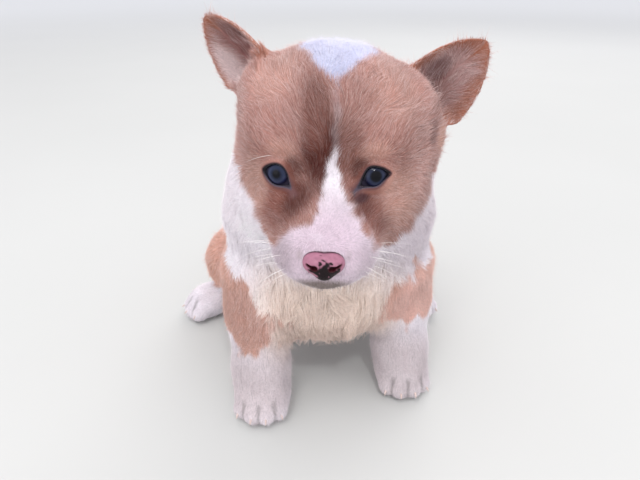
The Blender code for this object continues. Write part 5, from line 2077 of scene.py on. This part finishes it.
@dataclass
class Whiskers:
    """Fine pale whiskers on the muzzle and over the eyes."""

    head: HeadPlace
    skin: bpy.types.Object
    draw: np.random.Generator
    sides: int = 5
    steps: int = 10
    radius: float = 0.00011

    def starts(self) -> list[tuple[Triple, Triple, float]]:
        """Root, way and length of each whisker, in the head's frame."""
        found = []
        for side in Side:
            sign = side.value
            for row in range(4):
                for n in range(3 if row < 3 else 2):
                    stir = self.draw.uniform(-1.0, 1.0, 3)
                    root = (sign * (0.0145 + 0.0028 * n), -0.0680 + 0.0055 * n,
                            -0.0330 - 0.0034 * row + stir[0] * MM)
                    way = (sign * (1.0 + 0.2 * n), 0.10 + 0.25 * n + 0.2 * stir[1],
                           -0.16 - 0.16 * row + 0.12 * stir[2])
                    length = 0.015 + 0.0035 * n + self.draw.uniform(-0.003, 0.004)
                    found.append((root, way, length))
            if side is Side.RIGHT:
                found.append(((sign * 0.0270, -0.0420, 0.0035), (sign * 1.0, -0.1, -0.10), 0.013))
        return found

    def build(self) -> bpy.types.Object:
        """Builds and dresses the whiskers."""
        turn = np.array(self.head.frame.to_3x3())
        points, quads, triangles = [], [], []
        angles = turns(self.sides)
        for root, way, length in self.starts():
            start = out_of(self.head.frame, np.array([root]))[0]
            aim = unit(turn @ np.array(way) + self.draw.normal(0.0, 0.06, 3))
            found, place, *_ = self.skin.ray_cast(Vector(start + aim * 0.03), -Vector(aim))
            begin = np.array(place) - aim * 0.0006 if found else start
            droop = np.array((0.0, 0.0, -1.0)) * self.draw.uniform(0.08, 0.22)
            base = sum(len(group) for group in points)
            side = unit(np.cross(aim, (0.1, 0.2, 1.0)))
            up = np.cross(side, aim)
            for step in range(self.steps):
                share = step / self.steps
                middle = begin + aim * length * share + droop * length * share**2
                thick = self.radius * (1.0 - share) ** 0.8
                ring = middle + (np.cos(angles)[:, None] * side + np.sin(angles)[:, None] * up) * thick
                points.append(ring)
            points.append((begin + (aim + droop) * length)[None])
            quads.append(base + wall(self.steps, self.sides))
            last = base + (self.steps - 1) * self.sides
            for k in range(self.sides):
                triangles.append((last + k, last + (k + 1) % self.sides, last + self.sides))
            for k in range(1, self.sides - 1):
                triangles.append((base, base + k + 1, base + k))
        faces = [np.concatenate(quads), np.array(triangles)]
        whiskers = piece("whiskers", np.concatenate(points), faces)
        colour_points(whiskers, np.tile(Shade.WHISKER.light, (len(whiskers.data.vertices), 1)))
        unwrap(whiskers)
        HairFinish("whisker", roughness=0.45, change=0.05).made().put_on(whiskers)
        return whiskers


@dataclass
class Claws:
    """Sixteen small claws that show between the hairs of the toes."""

    body: Physique
    skin: bpy.types.Object
    length: float = 0.0034
    radius: float = 0.0009
    narrow: float = 0.85
    sides: int = 12
    levels: Sequence[Triple] = (
        (0.0, 1.0, 0.0), (0.22, 0.97, 0.0001), (0.45, 0.84, -0.0001), (0.66, 0.64, -0.0005),
        (0.85, 0.38, -0.0010), (1.0, 0.12, -0.0015))

    def build(self) -> list[tuple[bpy.types.Object, str]]:
        """Builds and dresses the claws.

        Returns:
            Each claw and the node that it stands for.
        """
        finish = Finish("claw_horn", 0.34, Coat_Weight=0.2, Coat_Roughness=0.2)
        streaks = finish.noise(1500.0, 3.0)
        finish.colour(finish.mix(streaks, paint(226, 208, 202), paint(188, 162, 154)))
        finish.bump(streaks, 0.00008)
        made = []
        for foot, legs in (("forepaw", self.body.forelegs), ("hindfoot", self.body.hindlegs)):
            for side, leg in legs.items():
                for number, (root, tip) in enumerate(leg.toes(), 1):
                    claw = self.claw(f"horn_{foot}_{side.word}_{number}", root, tip)
                    finish.put_on(claw)
                    made.append((claw, f"{foot}_{side.word}_claw_{number}"))
        return made

    def claw(self, name: str, root: Vector, tip: Vector) -> bpy.types.Object:
        """One claw, set into its toe."""
        way = (tip - root).normalized()
        found, place, normal, _ = self.skin.ray_cast(tip + way * 0.03 + Vector((0.0, 0.0, 0.0022)), -way)
        place, normal = (place, normal) if found else (tip, way)
        out = (Vector((normal.x, normal.y, max(normal.z, 0.0))) + Vector((0.0, 0.0, -0.25))).normalized()
        frame = frame_along(place - out * 0.0008, out, (0.0, 0.0, 1.0))
        angles = turns(self.sides)
        rings = []
        for along, width, droop in self.levels:
            across = np.cos(angles) * self.radius * width * self.narrow
            up = np.sin(angles) * self.radius * width + droop
            rings.append(np.stack([across, up, np.full(self.sides, along * self.length)], axis=1))
        points = out_of(frame, np.concatenate(rings))
        points[:, 2] += max(0.0, 0.0002 - points[:, 2].min())
        last = (len(self.levels) - 1) * self.sides
        caps = np.array([list(range(self.sides))[::-1], list(range(last, last + self.sides))])
        claw = piece(name, points, [wall(len(self.levels), self.sides), caps])
        unwrap(claw)
        return claw


# Studio


@dataclass(frozen=True)
class Lamp:
    """A soft square lamp: its place, what it points at, its side, its watts and its colour."""

    name: str
    place: Triple
    aim: Triple
    size: float
    power: float
    tint: Triple

    def build(self) -> None:
        """Sets the lamp up."""
        data = bpy.data.lights.new(self.name, "AREA")
        data.size = self.size
        data.energy = self.power
        data.color = self.tint
        lamp = bpy.data.objects.new(self.name, data)
        lamp.location = self.place
        lamp.rotation_euler = (Vector(self.place) - Vector(self.aim)).to_track_quat("Z", "Y").to_euler()
        bpy.context.scene.collection.objects.link(lamp)


@dataclass
class Studio:
    """A pale floor, soft light and the camera that looks down at the puppy."""

    lamps: Sequence[Lamp] = (
        Lamp("key", (-0.3, -1.0, 2.0), (0.0, -0.08, 0.12), 0.7, 12.5, (1.0, 0.98, 0.97)),
        Lamp("rim", (0.7, 1.4, 1.7), (0.0, -0.06, 0.14), 1.4, 13.0, (1.0, 0.98, 0.97)),
        Lamp("fill", (-1.0, -1.1, 0.5), (-0.02, -0.10, 0.12), 1.0, 2.6, (1.0, 0.97, 0.98)),
        Lamp("eye_light", (0.14, -0.83, 1.08), (0.0, -0.15, 0.16), 0.09, 2.4, (1.0, 1.0, 1.0)),
    )
    sky: tuple[float, float, float, float] = (0.97, 0.965, 1.0, 1.0)
    sky_strength: float = 1.07
    floor_half: float = 20.0
    floor_height: float = -0.0004
    camera_place: Triple = (-0.004, -0.360, 0.242)
    camera_pitch: float = 29.0
    focal_pixels: float = 481.0
    image_width: float = 640.0
    sensor: float = 36.0

    def build(self) -> None:
        """Builds floor, lights, world and camera."""
        self.floor()
        self.camera()
        for lamp in self.lamps:
            lamp.build()
        world = bpy.data.worlds.new("studio")
        bpy.context.scene.world = world
        world.use_nodes = True
        ground = world.node_tree.nodes["Background"]
        ground.inputs["Color"].default_value = self.sky
        ground.inputs["Strength"].default_value = self.sky_strength
        bpy.context.scene.view_settings.view_transform = "Standard"

    def floor(self) -> None:
        """The pale floor."""
        half, low = self.floor_half, self.floor_height
        corners = np.array(((-half, -half, low), (half, -half, low), (half, half, low), (-half, half, low)))
        floor = piece("floor", corners, [np.array([(0, 1, 2, 3)])])
        finish = Finish("pale_floor", 0.8, Specular_IOR_Level=0.2)
        cloud = finish.noise(3.0, 3.0)
        near = finish.mix(cloud, paint(198, 199, 197), paint(203, 204, 202))
        # Further from the puppy the floor is painted paler: painted light where the lamps' light falls off.
        place = finish.add("ShaderNodeTexCoord", {}, {}, "Object")
        far = finish.add("ShaderNodeVectorMath", {"operation": "LENGTH"}, {0: place}, "Value")
        finish.colour(finish.mix(finish.step(far, 0.6, 5.0), near, paint(222, 224, 226)))
        finish.put_on(floor)

    def camera(self) -> None:
        """The camera, at the photograph's place and angle."""
        data = bpy.data.cameras.new("camera")
        data.sensor_width = self.sensor
        data.lens = self.focal_pixels * self.sensor / self.image_width
        data.clip_start = 0.01
        camera = bpy.data.objects.new("camera", data)
        camera.location = self.camera_place
        camera.rotation_euler = (math.radians(90.0 - self.camera_pitch), 0.0, 0.0)
        bpy.context.scene.collection.objects.link(camera)
        bpy.context.scene.camera = camera


FLESH_NODES = (
    "head", "lower_jaw", "neck_and_bib", "torso", "tail", "ear_right", "ear_left",
    "foreleg_right", "foreleg_left", "forepaw_right", "forepaw_left",
    "hindleg_right", "hindleg_left", "hindfoot_right", "hindfoot_left",
)
# Where each eye looks, the size of its pupil and how light it is; the left eye is painted darker, as painted
# shade for its darker reflection
LOOKS = {
    Side.RIGHT: ((-0.292, -0.941, 0.171), 0.17, 1.0),
    Side.LEFT: ((0.120, -0.958, 0.253), 0.24, 0.78),
}


def dress(obj: bpy.types.Object, slot: str, *nodes: str) -> None:
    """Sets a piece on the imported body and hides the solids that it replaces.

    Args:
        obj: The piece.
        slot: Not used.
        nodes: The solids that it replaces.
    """
    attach(obj, BODY)
    if nodes:
        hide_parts(*nodes)
    LOG.info("%s: %d triangles", obj.name, triangle_count(obj))


def main() -> None:
    """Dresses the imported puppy."""
    logging.basicConfig(level=logging.INFO, format="%(message)s")
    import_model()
    body = Physique()
    markings = Markings(body, np.random.default_rng(11))
    lie = Lie(body, np.random.default_rng(5))
    skin, surface = Skin(body, markings).build()
    dress(skin, "red_coat", *FLESH_NODES)
    for fur in Coat(body, markings, lie, np.random.default_rng(3)).build(skin, surface):
        dress(fur, "red_coat")
    for side, (gaze, pupil, light) in LOOKS.items():
        dress(Eye(body.eyes[side], gaze, pupil=pupil, light=light).build(), "eye", f"eye_{side.word}")
    dress(Nose(body.head, body.flesh, np.random.default_rng(8)).build(), "nose_leather", "nose")
    bpy.context.view_layer.update()
    dress(Whiskers(body.head, skin, np.random.default_rng(6)).build(), "white_coat")
    for claw, node in Claws(body, skin).build():
        dress(claw, "claw", node)
    Studio().build()


if __name__ == "__main__":
    main()
